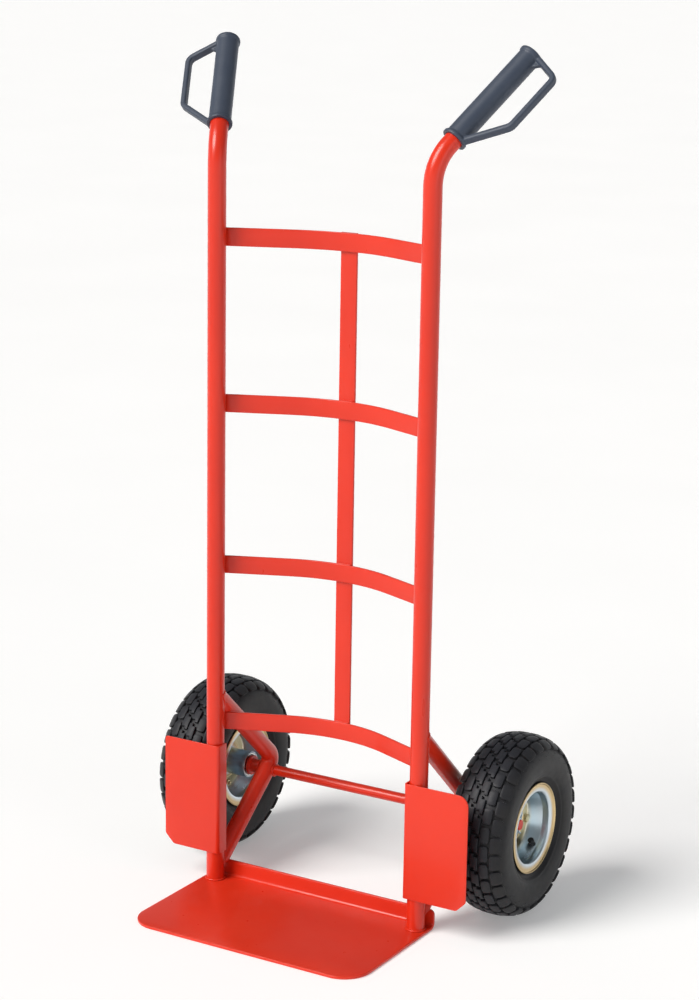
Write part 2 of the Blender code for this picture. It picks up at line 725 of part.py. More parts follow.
def build_inner_tube(side):
    tube = turned(f"inner_tube_{side}", tube_outline(0), WHEEL_STEPS)
    air = turned(f"tube_air_{side}", tube_outline(TUBE_SKIN), WHEEL_STEPS)
    root = RIM_SEAT_RADIUS + 2 * REST_GAP + TUBE_SKIN
    tip = root - VALVE_LENGTH
    stem = valve_cylinder(f"valve_stem_{side}", side, VALVE_RADIUS, tip, root - TUBE_SKIN / 2)
    bore_name = f"valve_bore_{side}"
    bore = valve_cylinder(bore_name, side, VALVE_BORE_RADIUS, tip - CUT_PAST, root + CUT_PAST)
    place(tube, RUBBER, WHEELS[side])
    place(air, None, WHEELS[side], cutter=True)
    boolean(tube, stem, "UNION")
    boolean(tube, air, "DIFFERENCE")
    boolean(tube, bore, "DIFFERENCE")


def wall_outline(points, thickness):
    """A closed outline around a line of (radius, height) points, thickness wide."""
    left, right = [], []
    for index, point in enumerate(points):
        here = Vector(point)
        before = Vector(points[index - 1]) if index else here
        after = Vector(points[index + 1]) if index + 1 < len(points) else here
        along = (after - before).normalized()
        across = Vector((-along.y, along.x)) * thickness / 2
        left.append(tuple(here + across))
        right.append(tuple(here - across))
    return left + right[::-1]


def rim_line():
    """The middle of the rim half's sheet, from the hub to the flange's lip."""
    half = RIM_SHEET / 2
    disc = REST_GAP / 2 + half
    seat = RIM_SEAT_RADIUS - half
    flange = RIM_HALF_WIDTH + half
    return [
        (HUB_RADIUS + REST_GAP, disc),
        (RIM_DISC_RADIUS, disc),
        (RIM_DISC_RADIUS + 2 * RIM_SHEET, disc + 1.5 * RIM_SHEET),
        (seat - RIM_SHEET, RIM_HALF_WIDTH - RIM_SEAT_WIDTH - 2 * RIM_SHEET),
        (seat, RIM_HALF_WIDTH - RIM_SEAT_WIDTH),
        (seat, RIM_HALF_WIDTH - RIM_SHEET),
        (seat + RIM_SHEET, flange),
        (RIM_FLANGE_RADIUS - 2 * RIM_SHEET, flange),
        (RIM_FLANGE_RADIUS - half, flange + RIM_LIP),
    ]


def bolt_spots(side):
    for index in range(BOLT_COUNT):
        angle = BOLT_FIRST_ANGLE + index * 2 * math.pi / BOLT_COUNT
        yield index + 1, polar(side, angle, BOLT_CIRCLE_RADIUS, 0)


def build_rims(side):
    for where, sign in (("outer", 1), ("inner", -1)):
        line = [(radius, sign * height) for radius, height in rim_line()]
        rim = turned(f"rim_{where}_{side}", wall_outline(line, RIM_SHEET), WHEEL_STEPS)
        place(rim, ZINC, WHEELS[side])
        for number, spot in bolt_spots(side):
            reach = 3 * RIM_SHEET
            name = f"bolt_hole_{where}_{side}_{number}"
            hole = cylinder(name, BOLT_RADIUS + REST_GAP, -reach, reach, BOLT_STEPS)
            place(hole, None, WHEELS[side], spot, cutter=True)
            boolean(rim, hole, "DIFFERENCE")
        if where == "outer":
            name = f"valve_hole_{side}"
            low, high = RIM_SEAT_RADIUS - VALVE_LENGTH, RIM_SEAT_RADIUS + CUT_PAST
            hole = valve_cylinder(name, side, VALVE_RADIUS + REST_GAP, low, high)
            boolean(rim, hole, "DIFFERENCE")


def build_bolts(side):
    seat = REST_GAP / 2 + RIM_SHEET + REST_GAP  # half of what the bolt clamps
    nut_end = -seat - NUT_HEIGHT
    for number, spot in bolt_spots(side):
        label = f"{side}_{number}"
        head = cylinder(f"rim_bolt_{label}", BOLT_HEX_RADIUS, seat, seat + BOLT_HEAD, 6)
        low, high = nut_end - BOLT_TAIL, seat + BOLT_HEAD / 2
        shank = cylinder(f"bolt_shank_{label}", BOLT_RADIUS, low, high, BOLT_STEPS)
        place(head, ZINC, WHEELS[side], spot)
        place(shank, None, WHEELS[side], spot, cutter=True)
        boolean(head, shank, "UNION")
        nut = cylinder(f"rim_nut_{label}", BOLT_HEX_RADIUS, nut_end, -seat, 6)
        bore = BOLT_RADIUS + REST_GAP
        thread = cylinder(f"nut_bore_{label}", bore, nut_end - CUT_PAST, CUT_PAST, BOLT_STEPS)
        place(nut, ZINC, WHEELS[side], spot)
        place(thread, None, WHEELS[side], spot, cutter=True)
        boolean(nut, thread, "DIFFERENCE")


def race_outline(back, face, middle, inward):
    """A race: plain on its back, with the balls' groove in its face."""
    groove = BALL_RADIUS + REST_GAP
    pitch = ball_pitch()
    points = [(back, middle - BEARING_WIDTH / 2), (back, middle + BEARING_WIDTH / 2)]
    points.append((face, middle + BEARING_WIDTH / 2))
    depth = abs(face - pitch)
    edge = math.acos(depth / groove)
    for step in range(GROOVE_STEPS + 1):
        angle = edge - 2 * edge * step / GROOVE_STEPS
        points.append((pitch - inward * groove * math.cos(angle), middle + groove * math.sin(angle)))
    points.append((face, middle - BEARING_WIDTH / 2))
    return points


def race_limits():
    outer_back = HUB_RADIUS - HUB_WALL - REST_GAP
    inner_back = AXLE_RADIUS + REST_GAP
    return inner_back, inner_back + RACE_THICKNESS, outer_back - RACE_THICKNESS, outer_back


def ball_pitch():
    inner_back, _, _, outer_back = race_limits()
    return (inner_back + outer_back) / 2


def build_bearing(side, where, middle):
    inner_back, inner_face, outer_face, outer_back = race_limits()
    outer_line = race_outline(outer_back, outer_face, middle, -1)
    inner_line = race_outline(inner_back, inner_face, middle, 1)
    outer = turned(f"{where}_bearing_outer_race_{side}", outer_line, SMALL_STEPS)
    inner = turned(f"{where}_bearing_inner_race_{side}", inner_line, SMALL_STEPS)
    pitch = ball_pitch()
    cage = ring(
        f"{where}_bearing_balls_{side}",
        pitch - CAGE_HEIGHT / 2,
        pitch + CAGE_HEIGHT / 2,
        middle - CAGE_WIDTH / 2,
        middle + CAGE_WIDTH / 2,
    )
    for obj in (outer, inner, cage):
        place(obj, STEEL, WHEELS[side])
    bm = bmesh.new()
    for index in range(BALL_COUNT):
        angle = 2 * math.pi * index / BALL_COUNT
        spot = Matrix.Translation((pitch * math.cos(angle), pitch * math.sin(angle), middle))
        bmesh.ops.create_uvsphere(
            bm, u_segments=BALL_SEGMENTS, v_segments=BALL_RINGS, radius=BALL_RADIUS, matrix=spot
        )
    balls = bpy.data.objects.new(f"{where}_balls_{side}", finish_mesh("balls", bm))
    place(balls, None, WHEELS[side], cutter=True)
    boolean(cage, balls, "UNION")


def build_wheel(side):
    place(turned(f"tyre_{side}", tyre_outline(), WHEEL_STEPS), RUBBER, WHEELS[side])
    build_inner_tube(side)
    build_rims(side)
    bore = HUB_RADIUS - HUB_WALL
    hub = ring(f"hub_{side}", bore, HUB_RADIUS, -HUB_INBOARD, HUB_OUTBOARD, BORE_STEPS)
    place(hub, ZINC, WHEELS[side])
    build_bolts(side)
    build_bearing(side, "outboard", HUB_OUTBOARD - BEARING_WIDTH / 2)
    build_bearing(side, "inboard", -HUB_INBOARD + BEARING_WIDTH / 2)


for side, sign in SIDES:
    build_upright(side, sign)
    build_grip(side, sign)
    build_guard(side, sign)
    build_bracket(side, sign)
    build_axle_collar(side)
    build_axle_washer(side)
    build_split_pin(side, sign)
    build_wheel(side)
build_rungs()
build_strap()
build_toe_plate()
build_axle()
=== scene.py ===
# %% [markdown]
# # A two-wheeled hand truck
# The truck is a welded frame of painted steel tube and flat bar, with moulded grips on top and
# two pneumatic wheels behind a folded toe plate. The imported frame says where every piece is.
# This lesson builds the fine surface of each piece around it, and a finish for each material.

# %% Load the frame
import math

import bmesh
import bpy
from mathutils import Matrix, Vector


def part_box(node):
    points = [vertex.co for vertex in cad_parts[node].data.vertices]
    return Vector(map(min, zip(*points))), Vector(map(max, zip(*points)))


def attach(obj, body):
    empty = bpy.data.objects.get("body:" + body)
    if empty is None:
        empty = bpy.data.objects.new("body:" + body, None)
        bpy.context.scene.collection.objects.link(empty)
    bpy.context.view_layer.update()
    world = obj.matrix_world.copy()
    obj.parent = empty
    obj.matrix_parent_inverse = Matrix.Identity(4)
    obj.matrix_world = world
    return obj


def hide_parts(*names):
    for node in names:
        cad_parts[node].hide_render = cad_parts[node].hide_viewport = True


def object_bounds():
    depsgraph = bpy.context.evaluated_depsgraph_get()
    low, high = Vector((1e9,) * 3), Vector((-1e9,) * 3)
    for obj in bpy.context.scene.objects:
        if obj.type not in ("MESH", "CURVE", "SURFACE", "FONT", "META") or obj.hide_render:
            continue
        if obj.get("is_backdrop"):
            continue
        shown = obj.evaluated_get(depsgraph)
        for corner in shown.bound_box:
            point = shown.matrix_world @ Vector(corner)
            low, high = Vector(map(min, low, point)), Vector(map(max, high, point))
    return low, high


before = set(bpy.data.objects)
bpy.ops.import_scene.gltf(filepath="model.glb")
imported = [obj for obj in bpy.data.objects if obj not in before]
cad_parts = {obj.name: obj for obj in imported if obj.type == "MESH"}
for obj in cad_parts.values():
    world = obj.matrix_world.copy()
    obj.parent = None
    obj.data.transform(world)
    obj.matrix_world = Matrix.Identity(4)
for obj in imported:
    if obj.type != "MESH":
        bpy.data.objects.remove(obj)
cad_low, cad_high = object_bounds()
print(f"{len(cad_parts)} nodes, {cad_high.z - cad_low.z:.3f} m high")

# %% [markdown]
# ## Where things are
# A few sizes are read from the frame's own boxes, so that the fine pieces land on the plain ones:
# the uprights' tube, the toe plate, and the axle with its two wheels. Sizes that a box can't tell,
# such as a bend's radius, are named here once. Everything is in metres.

# %% Places and sizes
SIDES = (("left", -1), ("right", 1))
X, Y, Z = Vector((1, 0, 0)), Vector((0, 1, 0)), Vector((0, 0, 1))
MM = 0.001


def middle(node):
    low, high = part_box(node)
    return (low + high) / 2


def size(node):
    low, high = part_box(node)
    return high - low


TUBE_RADIUS = size("axle_bracket_right").x / 2
UPRIGHT_X = middle("axle_bracket_right").x
UPRIGHT_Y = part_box("upright_right")[0].y + TUBE_RADIUS
PLATE_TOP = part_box("upright_right")[0].z
AXLE = middle("axle")
AXLE_RADIUS = size("axle").z / 2
WHEEL_X = middle("tyre_right").x
TYRE_RADIUS = size("tyre_right").z / 2
ZERO = Vector((0, UPRIGHT_Y, PLATE_TOP))
print(f"uprights at x {UPRIGHT_X:.4f}, y {UPRIGHT_Y:.4f}; axle at y {AXLE.y:.4f}, z {AXLE.z:.4f}")

# %% [markdown]
# ## Effects that several finishes share
# Real surfaces differ from flat colour in a few ways that repeat: a fine grain, a slow drift of
# tone, dust that settles on what faces up, and fine rubbed lines. Each is a node group with named
# sockets, built once and placed in every material with that material's own values. The groups read
# Object coordinates, which here are the truck's own, so a pattern keeps its true scale.

# %% A helper for node groups
def new_group(name, inputs, outputs):
    tree = bpy.data.node_groups.new(name, "ShaderNodeTree")
    for label, kind, value in inputs:
        socket = tree.interface.new_socket(label, in_out="INPUT", socket_type=f"NodeSocket{kind}")
        socket.default_value = value
    for label, kind in outputs:
        tree.interface.new_socket(label, in_out="OUTPUT", socket_type=f"NodeSocket{kind}")
    return tree, tree.nodes.new("NodeGroupInput"), tree.nodes.new("NodeGroupOutput")


def add_node(tree, kind, links=(), **settings):
    """A node with its settings, whose named inputs take a socket or a plain value."""
    node = tree.nodes.new(f"ShaderNode{kind}")
    for name, value in settings.items():
        setattr(node, name, value)
    for socket, value in links:
        if isinstance(value, bpy.types.NodeSocket):
            tree.links.new(value, node.inputs[socket])
        else:
            node.inputs[socket].default_value = value
    return node


def object_place(tree):
    return tree.nodes.new("ShaderNodeTexCoord").outputs["Object"]


def mixed(tree, share, first, second):
    links = ((0, share), (6, first), (7, second))
    return add_node(tree, "Mix", links, data_type="RGBA").outputs[2]


# %% Grain, tone, dust and rubbed lines
def grain_group():
    tree, given, made = new_group(
        "surface grain", [("Scale", "Float", 400.0), ("Coarse Share", "Float", 0.3)], [("Height", "Float")]
    )
    place = object_place(tree)
    fine = add_node(tree, "TexNoise", [("Vector", place), ("Scale", given.outputs["Scale"]), ("Detail", 3.0)])
    wide_scale = add_node(tree, "Math", [(0, given.outputs["Scale"]), (1, 0.12)], operation="MULTIPLY")
    wide = add_node(tree, "TexNoise", [("Vector", place), ("Scale", wide_scale.outputs[0]), ("Detail", 2.0)])
    share = given.outputs["Coarse Share"]
    both = add_node(tree, "Mix", [(0, share), (2, fine.outputs[0]), (3, wide.outputs[0])], data_type="FLOAT")
    tree.links.new(both.outputs[0], made.inputs["Height"])
    return tree


def tone_group():
    tree, given, made = new_group(
        "tone drift",
        [("First", "Color", (1, 1, 1, 1)), ("Second", "Color", (1, 1, 1, 1)), ("Scale", "Float", 6.0)],
        [("Color", "Color"), ("Mask", "Float")],
    )
    links = [("Vector", object_place(tree)), ("Scale", given.outputs["Scale"]), ("Detail", 4.0)]
    noise = add_node(tree, "TexNoise", links)
    spread = add_node(tree, "MapRange", [("Value", noise.outputs[0]), ("From Min", 0.35), ("From Max", 0.65)])
    colour = mixed(tree, spread.outputs[0], given.outputs["First"], given.outputs["Second"])
    tree.links.new(colour, made.inputs["Color"])
    tree.links.new(spread.outputs[0], made.inputs["Mask"])
    return tree


def dust_group():
    tree, given, made = new_group(
        "settled dust",
        [("Color", "Color", (1, 1, 1, 1)), ("Dust", "Color", (0.3, 0.27, 0.24, 1)), ("Amount", "Float", 0.1)],
        [("Color", "Color"), ("Mask", "Float")],
    )
    normal = tree.nodes.new("ShaderNodeNewGeometry").outputs["Normal"]
    facing = add_node(tree, "SeparateXYZ", [(0, normal)])
    links = [("Value", facing.outputs["Z"]), ("From Min", 0.1), ("From Max", 1.0)]
    upward = add_node(tree, "MapRange", links)
    patches = add_node(tree, "TexNoise", [("Vector", object_place(tree)), ("Scale", 38.0), ("Detail", 5.0)])
    uneven = add_node(tree, "Math", [(0, upward.outputs[0]), (1, patches.outputs[0])], operation="MULTIPLY")
    links = [(0, uneven.outputs[0]), (1, given.outputs["Amount"])]
    mask = add_node(tree, "Math", links, operation="MULTIPLY")
    dusted = mixed(tree, mask.outputs[0], given.outputs["Color"], given.outputs["Dust"])
    tree.links.new(dusted, made.inputs["Color"])
    tree.links.new(mask.outputs[0], made.inputs["Mask"])
    return tree


def rubbed_group():
    tree, given, made = new_group(
        "rubbed lines",
        [("Stretch", "Vector", (40.0, 400.0, 400.0)), ("Low", "Float", 0.2), ("High", "Float", 0.4)],
        [("Roughness", "Float"), ("Height", "Float")],
    )
    links = [("Vector", object_place(tree)), ("Scale", given.outputs["Stretch"])]
    stretched = add_node(tree, "Mapping", links)
    noise = add_node(tree, "TexNoise", [("Vector", stretched.outputs[0]), ("Scale", 1.0), ("Detail", 4.0)])
    low, high = given.outputs["Low"], given.outputs["High"]
    rough = add_node(tree, "MapRange", [("Value", noise.outputs[0]), ("To Min", low), ("To Max", high)])
    tree.links.new(rough.outputs[0], made.inputs["Roughness"])
    tree.links.new(noise.outputs[0], made.inputs["Height"])
    return tree


GRAIN, TONE, DUST, RUBBED = grain_group(), tone_group(), dust_group(), rubbed_group()
print("groups:", ", ".join(tree.name for tree in (GRAIN, TONE, DUST, RUBBED)))

# %% [markdown]
# The zinc on the rims carries painted reflections: the rolled lip and the inner disc are painted
# straw-gold, as a reflection of warm ground, and the wall between them blue, as a reflection of sky.
# The painted reflection follows the distance from the axle, so one more group measures that, and a
# colour ramp turns it into colour.
# A wheel turns about this same line, and Object coordinates turn with it, so the painted
# reflection stays put.

# %% Distance from the axle
def axle_distance_group():
    tree, _, made = new_group("distance from the axle", [], [("Radius", "Float")])
    away = add_node(tree, "VectorMath", [(0, object_place(tree)), (1, AXLE)], operation="SUBTRACT")
    flat = add_node(tree, "VectorMath", [(0, away.outputs[0]), (1, Y + Z)], operation="MULTIPLY")
    length = add_node(tree, "VectorMath", [(0, flat.outputs[0])], operation="LENGTH")
    tree.links.new(length.outputs["Value"], made.inputs["Radius"])
    return tree


AXLE_DISTANCE = axle_distance_group()
print("group:", AXLE_DISTANCE.name)


# %% A helper for materials
def new_material(name, **even):
    """A material whose even values are set on the shader's own sockets."""
    made = bpy.data.materials.new(name)
    made.use_nodes = True
    tree = made.node_tree
    shader = tree.nodes["Principled BSDF"]
    for socket, value in even.items():
        shader.inputs[socket.replace("_", " ").title().replace("Ior", "IOR")].default_value = value
    return made, tree, shader


def use_group(tree, group, *links):
    node = tree.nodes.new("ShaderNodeGroup")
    node.node_tree = group
    for socket, value in links:
        if isinstance(value, bpy.types.NodeSocket):
            tree.links.new(value, node.inputs[socket])
        else:
            node.inputs[socket].default_value = value
    return node.outputs


def bump(tree, shader, height, depth, strength=1.0):
    links = [("Height", height), ("Distance", depth), ("Strength", strength)]
    node = add_node(tree, "Bump", links)
    tree.links.new(node.outputs[0], shader.inputs["Normal"])


# %% [markdown]
# ## Red powder coat
# The frame is sprayed with powder and baked. The coat is glossy, a little uneven like orange peel,
# and rounds every edge. A thin clear coat on the shader adds the sharper highlights along the
# tubes, and a coarse, shallow grain breaks them up slightly.

# %% Powder coat
def make_powder_coat():
    made, tree, shader = new_material(
        "red_powder_coat", coat_weight=0.10, coat_roughness=0.16, ior=1.5, specular_ior_level=0.4
    )
    tone = use_group(
        tree, TONE, ("First", (0.68, 0.028, 0.007, 1)), ("Second", (0.64, 0.024, 0.006, 1)), ("Scale", 7.0)
    )
    dusted = use_group(
        tree, DUST, ("Color", tone["Color"]), ("Dust", (0.55, 0.24, 0.18, 1)), ("Amount", 0.05)
    )
    tree.links.new(dusted["Color"], shader.inputs["Base Color"])
    rubbed = use_group(tree, RUBBED, ("Stretch", (60.0, 60.0, 25.0)), ("Low", 0.24), ("High", 0.36))
    tree.links.new(rubbed["Roughness"], shader.inputs["Roughness"])
    grain = use_group(tree, GRAIN, ("Scale", 420.0), ("Coarse Share", 0.6))
    bump(tree, shader, grain["Height"], 0.10 * MM, 0.55)
    return made


# %% [markdown]
# ## Slate plastic
# The grips are injection moulded in a dark blue-grey plastic. Their mould was spark-eroded, which
# leaves a fine, even grain that scatters the light, so highlights are broad and soft.

# %% Moulded plastic
def make_grip_plastic():
    made, tree, shader = new_material("slate_plastic", ior=1.5)
    tone = use_group(
        tree, TONE, ("First", (0.034, 0.047, 0.075, 1)), ("Second", (0.041, 0.054, 0.083, 1)), ("Scale", 30.0)
    )
    dusted = use_group(
        tree, DUST, ("Color", tone["Color"]), ("Dust", (0.16, 0.17, 0.19, 1)), ("Amount", 0.22)
    )
    tree.links.new(dusted["Color"], shader.inputs["Base Color"])
    rubbed = use_group(tree, RUBBED, ("Stretch", (300.0, 300.0, 300.0)), ("Low", 0.40), ("High", 0.54))
    tree.links.new(rubbed["Roughness"], shader.inputs["Roughness"])
    grain = use_group(tree, GRAIN, ("Scale", 1500.0), ("Coarse Share", 0.15))
    bump(tree, shader, grain["Height"], 0.12 * MM, 0.5)
    return made


# %% [markdown]
# ## Rubber
# Tyre rubber is nearly black with a blue bloom where light grazes it, and what faces up carries a
# film of pale bluish colour, partly dust and partly a painted sky sheen. The tread and the sidewall
# are one moulding, so one material does both: away from the axle it turns a little greyer and bluer,
# partly wear and partly a painted sheen. The inner tube and its valve share it with other values.

# %% Rubber
def make_rubber(name, dark, light, dust_and_painted_sheen_amount, roughness):
    made, tree, shader = new_material(
        name, sheen_weight=0.06, sheen_roughness=0.4, ior=1.5, specular_ior_level=0.28
    )
    tone = use_group(tree, TONE, ("First", dark), ("Second", light), ("Scale", 45.0))
    # On what faces up, a pale bluish film: partly dust, partly a painted sky sheen.
    dusted = use_group(
        tree, DUST, ("Color", tone["Color"]), ("Dust", (0.07, 0.076, 0.092, 1)), ("Amount", dust_and_painted_sheen_amount)
    )
    # Away from the axle the colour turns grey-blue: partly wear, partly a painted sheen on the tread.
    radius = use_group(tree, AXLE_DISTANCE)["Radius"]
    near, far = TYRE_RADIUS * 0.93, TYRE_RADIUS
    links = [("Value", radius), ("From Min", near), ("From Max", far), ("To Max", 0.5)]
    outer = add_node(tree, "MapRange", links)
    wear_and_painted_sheen = mixed(tree, outer.outputs[0], dusted["Color"], (0.019, 0.021, 0.029, 1))
    tree.links.new(wear_and_painted_sheen, shader.inputs["Base Color"])
    low, high = roughness
    rubbed = use_group(tree, RUBBED, ("Stretch", (120.0, 120.0, 120.0)), ("Low", low), ("High", high))
    tree.links.new(rubbed["Roughness"], shader.inputs["Roughness"])
    grain = use_group(tree, GRAIN, ("Scale", 900.0), ("Coarse Share", 0.35))
    bump(tree, shader, grain["Height"], 0.15 * MM, 0.6)
    return made


# %% [markdown]
# ## Zinc plate and ground steel
# Rims, hubs, bolts and washers are bright zinc plate over pressed steel: a metal with a soft,
# slightly streaky reflection, on which blue and straw reflections are painted by distance from the
# axle. Bearings are ground steel, darker and with finer lines.

# %% Metals
# These colours are painted reflections by distance from the axle: blue on the hub and the dish wall,
# straw-gold on the flat disc and the lip.
PAINTED_REFLECTION_FROM, PAINTED_REFLECTION_TO = 15 * MM, 65 * MM
HUB_PAINTED_REFLECTION, LIP_PAINTED_REFLECTION = (0.46, 0.55, 0.62, 1), (0.66, 0.50, 0.27, 1)
DISH_PAINTED_REFLECTIONS = (
    (25 * MM, (0.66, 0.53, 0.30, 1)), (40 * MM, (0.68, 0.56, 0.34, 1)),
    (44 * MM, (0.56, 0.70, 0.77, 1)), (53 * MM, (0.66, 0.72, 0.76, 1)),
)


def make_zinc():
    made, tree, shader = new_material("bright_zinc", metallic=1.0)
    radius = use_group(tree, AXLE_DISTANCE)["Radius"]
    start, end = PAINTED_REFLECTION_FROM, PAINTED_REFLECTION_TO
    span = add_node(tree, "MapRange", [("Value", radius), ("From Min", start), ("From Max", end)])
    # The ramp paints reflections by radius: blue on the hub and the wall, straw-gold on the disc and the lip.
    painted_reflections = add_node(tree, "ValToRGB", [("Fac", span.outputs[0])])
    first, last = painted_reflections.color_ramp.elements
    first.position, first.color = (20 * MM - start) / (end - start), HUB_PAINTED_REFLECTION
    last.position, last.color = (58 * MM - start) / (end - start), LIP_PAINTED_REFLECTION
    for at, reflection_colour in DISH_PAINTED_REFLECTIONS:
        painted_reflections.color_ramp.elements.new((at - start) / (end - start)).color = reflection_colour
    tree.links.new(painted_reflections.outputs["Color"], shader.inputs["Base Color"])
    rubbed = use_group(tree, RUBBED, ("Stretch", (300.0, 22.0, 22.0)), ("Low", 0.24), ("High", 0.34))
    tree.links.new(rubbed["Roughness"], shader.inputs["Roughness"])
    grain = use_group(tree, GRAIN, ("Scale", 160.0), ("Coarse Share", 0.5))
    bump(tree, shader, grain["Height"], 0.02 * MM, 0.25)
    return made


def make_ground_steel():
    made, tree, shader = new_material("ground_steel", metallic=1.0)
    tone = use_group(
        tree, TONE, ("First", (0.46, 0.47, 0.48, 1)), ("Second", (0.56, 0.56, 0.55, 1)), ("Scale", 60.0)
    )
    tree.links.new(tone["Color"], shader.inputs["Base Color"])
    rubbed = use_group(tree, RUBBED, ("Stretch", (2500.0, 120.0, 120.0)), ("Low", 0.12), ("High", 0.30))
    tree.links.new(rubbed["Roughness"], shader.inputs["Roughness"])
    bump(tree, shader, rubbed["Height"], 0.02 * MM, 0.4)
    return made


FINISHES = {
    "red_paint": make_powder_coat(),
    "grip_plastic": make_grip_plastic(),
    "tyre_rubber": make_rubber(
        "tyre_rubber", (0.009, 0.009, 0.011, 1), (0.014, 0.013, 0.013, 1), 0.30, roughness=(0.42, 0.60)
    ),
    "tube_rubber": make_rubber(
        "tube_rubber", (0.010, 0.010, 0.011, 1), (0.016, 0.016, 0.017, 1), 0.1, roughness=(0.40, 0.55)
    ),
    "zinc_plate": make_zinc(),
    "bearing_steel": make_ground_steel(),
}
for slot_name, finish_made in FINISHES.items():
    print(f"{slot_name}: {finish_made.name}")

# %% [markdown]
# ## From a bmesh to a piece
# Each piece is a bmesh until it is whole. Then it becomes an object at the origin with its place in
# its mesh, gets the finish of its slot, rides on its body, and stands for the plain node that it
# refines. Faces meet smoothly unless their angle is sharp.

# %% Helpers that make a piece
PIECES = bpy.data.collections.new("hand_truck")
bpy.context.scene.collection.children.link(PIECES)
SHARP = math.radians(38)


def add_piece(name, mesh, slot, body, *nodes):
    mesh.shade_smooth()
    mesh.set_sharp_from_angle(angle=SHARP)
    mesh.materials.append(FINISHES[slot])
    piece = bpy.data.objects.new(name, mesh)
    PIECES.objects.link(piece)
    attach(piece, body)
    if nodes:
        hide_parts(*nodes)
    return piece


def mesh_of(name, bm, place=None):
    """Merges doubles, points every face outwards and moves the shape to its place."""
    bmesh.ops.remove_doubles(bm, verts=bm.verts, dist=0.002 * MM)
    bmesh.ops.recalc_face_normals(bm, faces=bm.faces)
    if place:
        bmesh.ops.transform(bm, matrix=place, verts=bm.verts)
    mesh = bpy.data.meshes.new(name)
    bm.to_mesh(mesh)
    bm.free()
    return mesh


def give_wall(piece, thickness, offset):
    wall = piece.modifiers.new("wall", "SOLIDIFY")
    wall.thickness = thickness
    wall.offset = offset
    wall.use_even_offset = True


def soften(piece, width, segments=3, angle=SHARP):
    """Rounds the piece's sharp edges."""
    edge = piece.modifiers.new("edge", "BEVEL")
    edge.width = width
    edge.segments = segments
    edge.limit_method = "ANGLE"
    edge.angle_limit = angle
    edge.harden_normals = False


def verts_in(made):
    return [item for item in made if isinstance(item, bmesh.types.BMVert)]


def loop_in(made):
    """The edges of an extrusion's far end."""
    ends = set(verts_in(made))
    return [item for item in made if isinstance(item, bmesh.types.BMEdge) and ends.issuperset(item.verts)]


print("helpers ready")

# %% [markdown]
# ## Bent tube
# A tube bender feeds straight stretches and swings the tube round a former. The mesh is made the
# same way: a ring of edges is extruded along each straight stretch and spun about the former's
# centre at each corner. That keeps the section exactly round, which a curve's bevel does only
# roughly at a tight bend. The same function bends flat bar, from a rounded rectangle.

# %% Sweep a section along straight stretches and bends
def push(bm, loop, shift):
    made = bmesh.ops.extrude_edge_only(bm, edges=loop)["geom"]
    bmesh.ops.translate(bm, vec=shift, verts=verts_in(made))
    return loop_in(made)


def swing(bm, loop, centre, axis, angle, steps):
    made = bmesh.ops.spin(
        bm, geom=loop, cent=centre, axis=axis, dvec=(0, 0, 0), angle=angle, steps=steps, use_merge=False
    )
    return loop_in(made["geom_last"])


def sweep(bm, loop, corners, radius, steps):
    """Carries a closed loop along corners, with a bend of that radius at each inner one."""
    bmesh.ops.edgeloop_fill(bm, edges=loop)
    at = corners[0]
    for before, corner, after in zip(corners, corners[1:], corners[2:]):
        back, ahead = (before - corner).normalized(), (after - corner).normalized()
        half = back.angle(ahead) / 2
        reach = radius / math.tan(half)
        loop = push(bm, loop, corner + back * reach - at)
        centre = corner + (back + ahead).normalized() * radius / math.sin(half)
        loop = swing(bm, loop, centre, ahead.cross(back), math.pi - 2 * half, steps)
        at = corner + ahead * reach
    loop = push(bm, loop, corners[-1] - at)
    bmesh.ops.edgeloop_fill(bm, edges=loop)


def round_section(bm, radius, at, along, segments=40):
    turn = along.to_track_quat("Z", "Y").to_matrix().to_4x4()
    made = bmesh.ops.create_circle(bm, segments=segments, radius=radius, matrix=Matrix.Translation(at) @ turn)
    return list({edge for vert in made["verts"] for edge in vert.link_edges})


def bar_section(bm, width, height, corner, place):
    """A rounded rectangle, width along its own X and height along its own Y."""
    bmesh.ops.create_grid(bm, x_segments=1, y_segments=1, size=0.5)
    bmesh.ops.scale(bm, vec=(width, height, 1), verts=bm.verts)
    bmesh.ops.bevel(
        bm, geom=bm.verts, offset=corner, segments=3, profile=0.5, affect="VERTICES", material=-1
    )
    bmesh.ops.delete(bm, geom=bm.faces, context="FACES_ONLY")
    bmesh.ops.transform(bm, matrix=place, verts=bm.verts)
    return list(bm.edges)


def axes(origin, x, y):
    """The matrix of a frame from its origin and two of its axes."""
    return Matrix.Translation(origin) @ Matrix((x, y, x.cross(y))).transposed().to_4x4()


# %% [markdown]
# ## Uprights
# Each upright is one 25 mm tube that rises from the toe plate and bends back and outwards for the
# handle. Its upper end is inside the grip.

# %% Build the uprights
BEND_HEIGHT = 1036.5 * MM
BEND_RADIUS = 70 * MM
GRIP_START = 39.5 * MM
GRIP_LENGTH = 158 * MM
LEAN_OUT, LEAN_BACK = 0.351, 0.657
HANDLE_RISE = math.sqrt(1 - LEAN_OUT**2 - LEAN_BACK**2)


def handle_direction(sign):
    return Vector((sign * LEAN_OUT, LEAN_BACK, HANDLE_RISE))


def bend_corner(sign):
    return ZERO + Vector((sign * UPRIGHT_X, 0, BEND_HEIGHT))


for side, sign in SIDES:
    foot = ZERO + sign * UPRIGHT_X * X
    tip = bend_corner(sign) + handle_direction(sign) * (GRIP_START + GRIP_LENGTH - 8 * MM)
    bm = bmesh.new()
    ring = round_section(bm, TUBE_RADIUS, foot, Z)
    sweep(bm, ring, [foot, bend_corner(sign), tip], BEND_RADIUS, 18)
    name = f"fine_upright_{side}"
    add_piece(name, mesh_of(name, bm), "red_paint", "frame", f"upright_{side}")
    print(name, len(bpy.data.meshes[name].polygons), "faces")

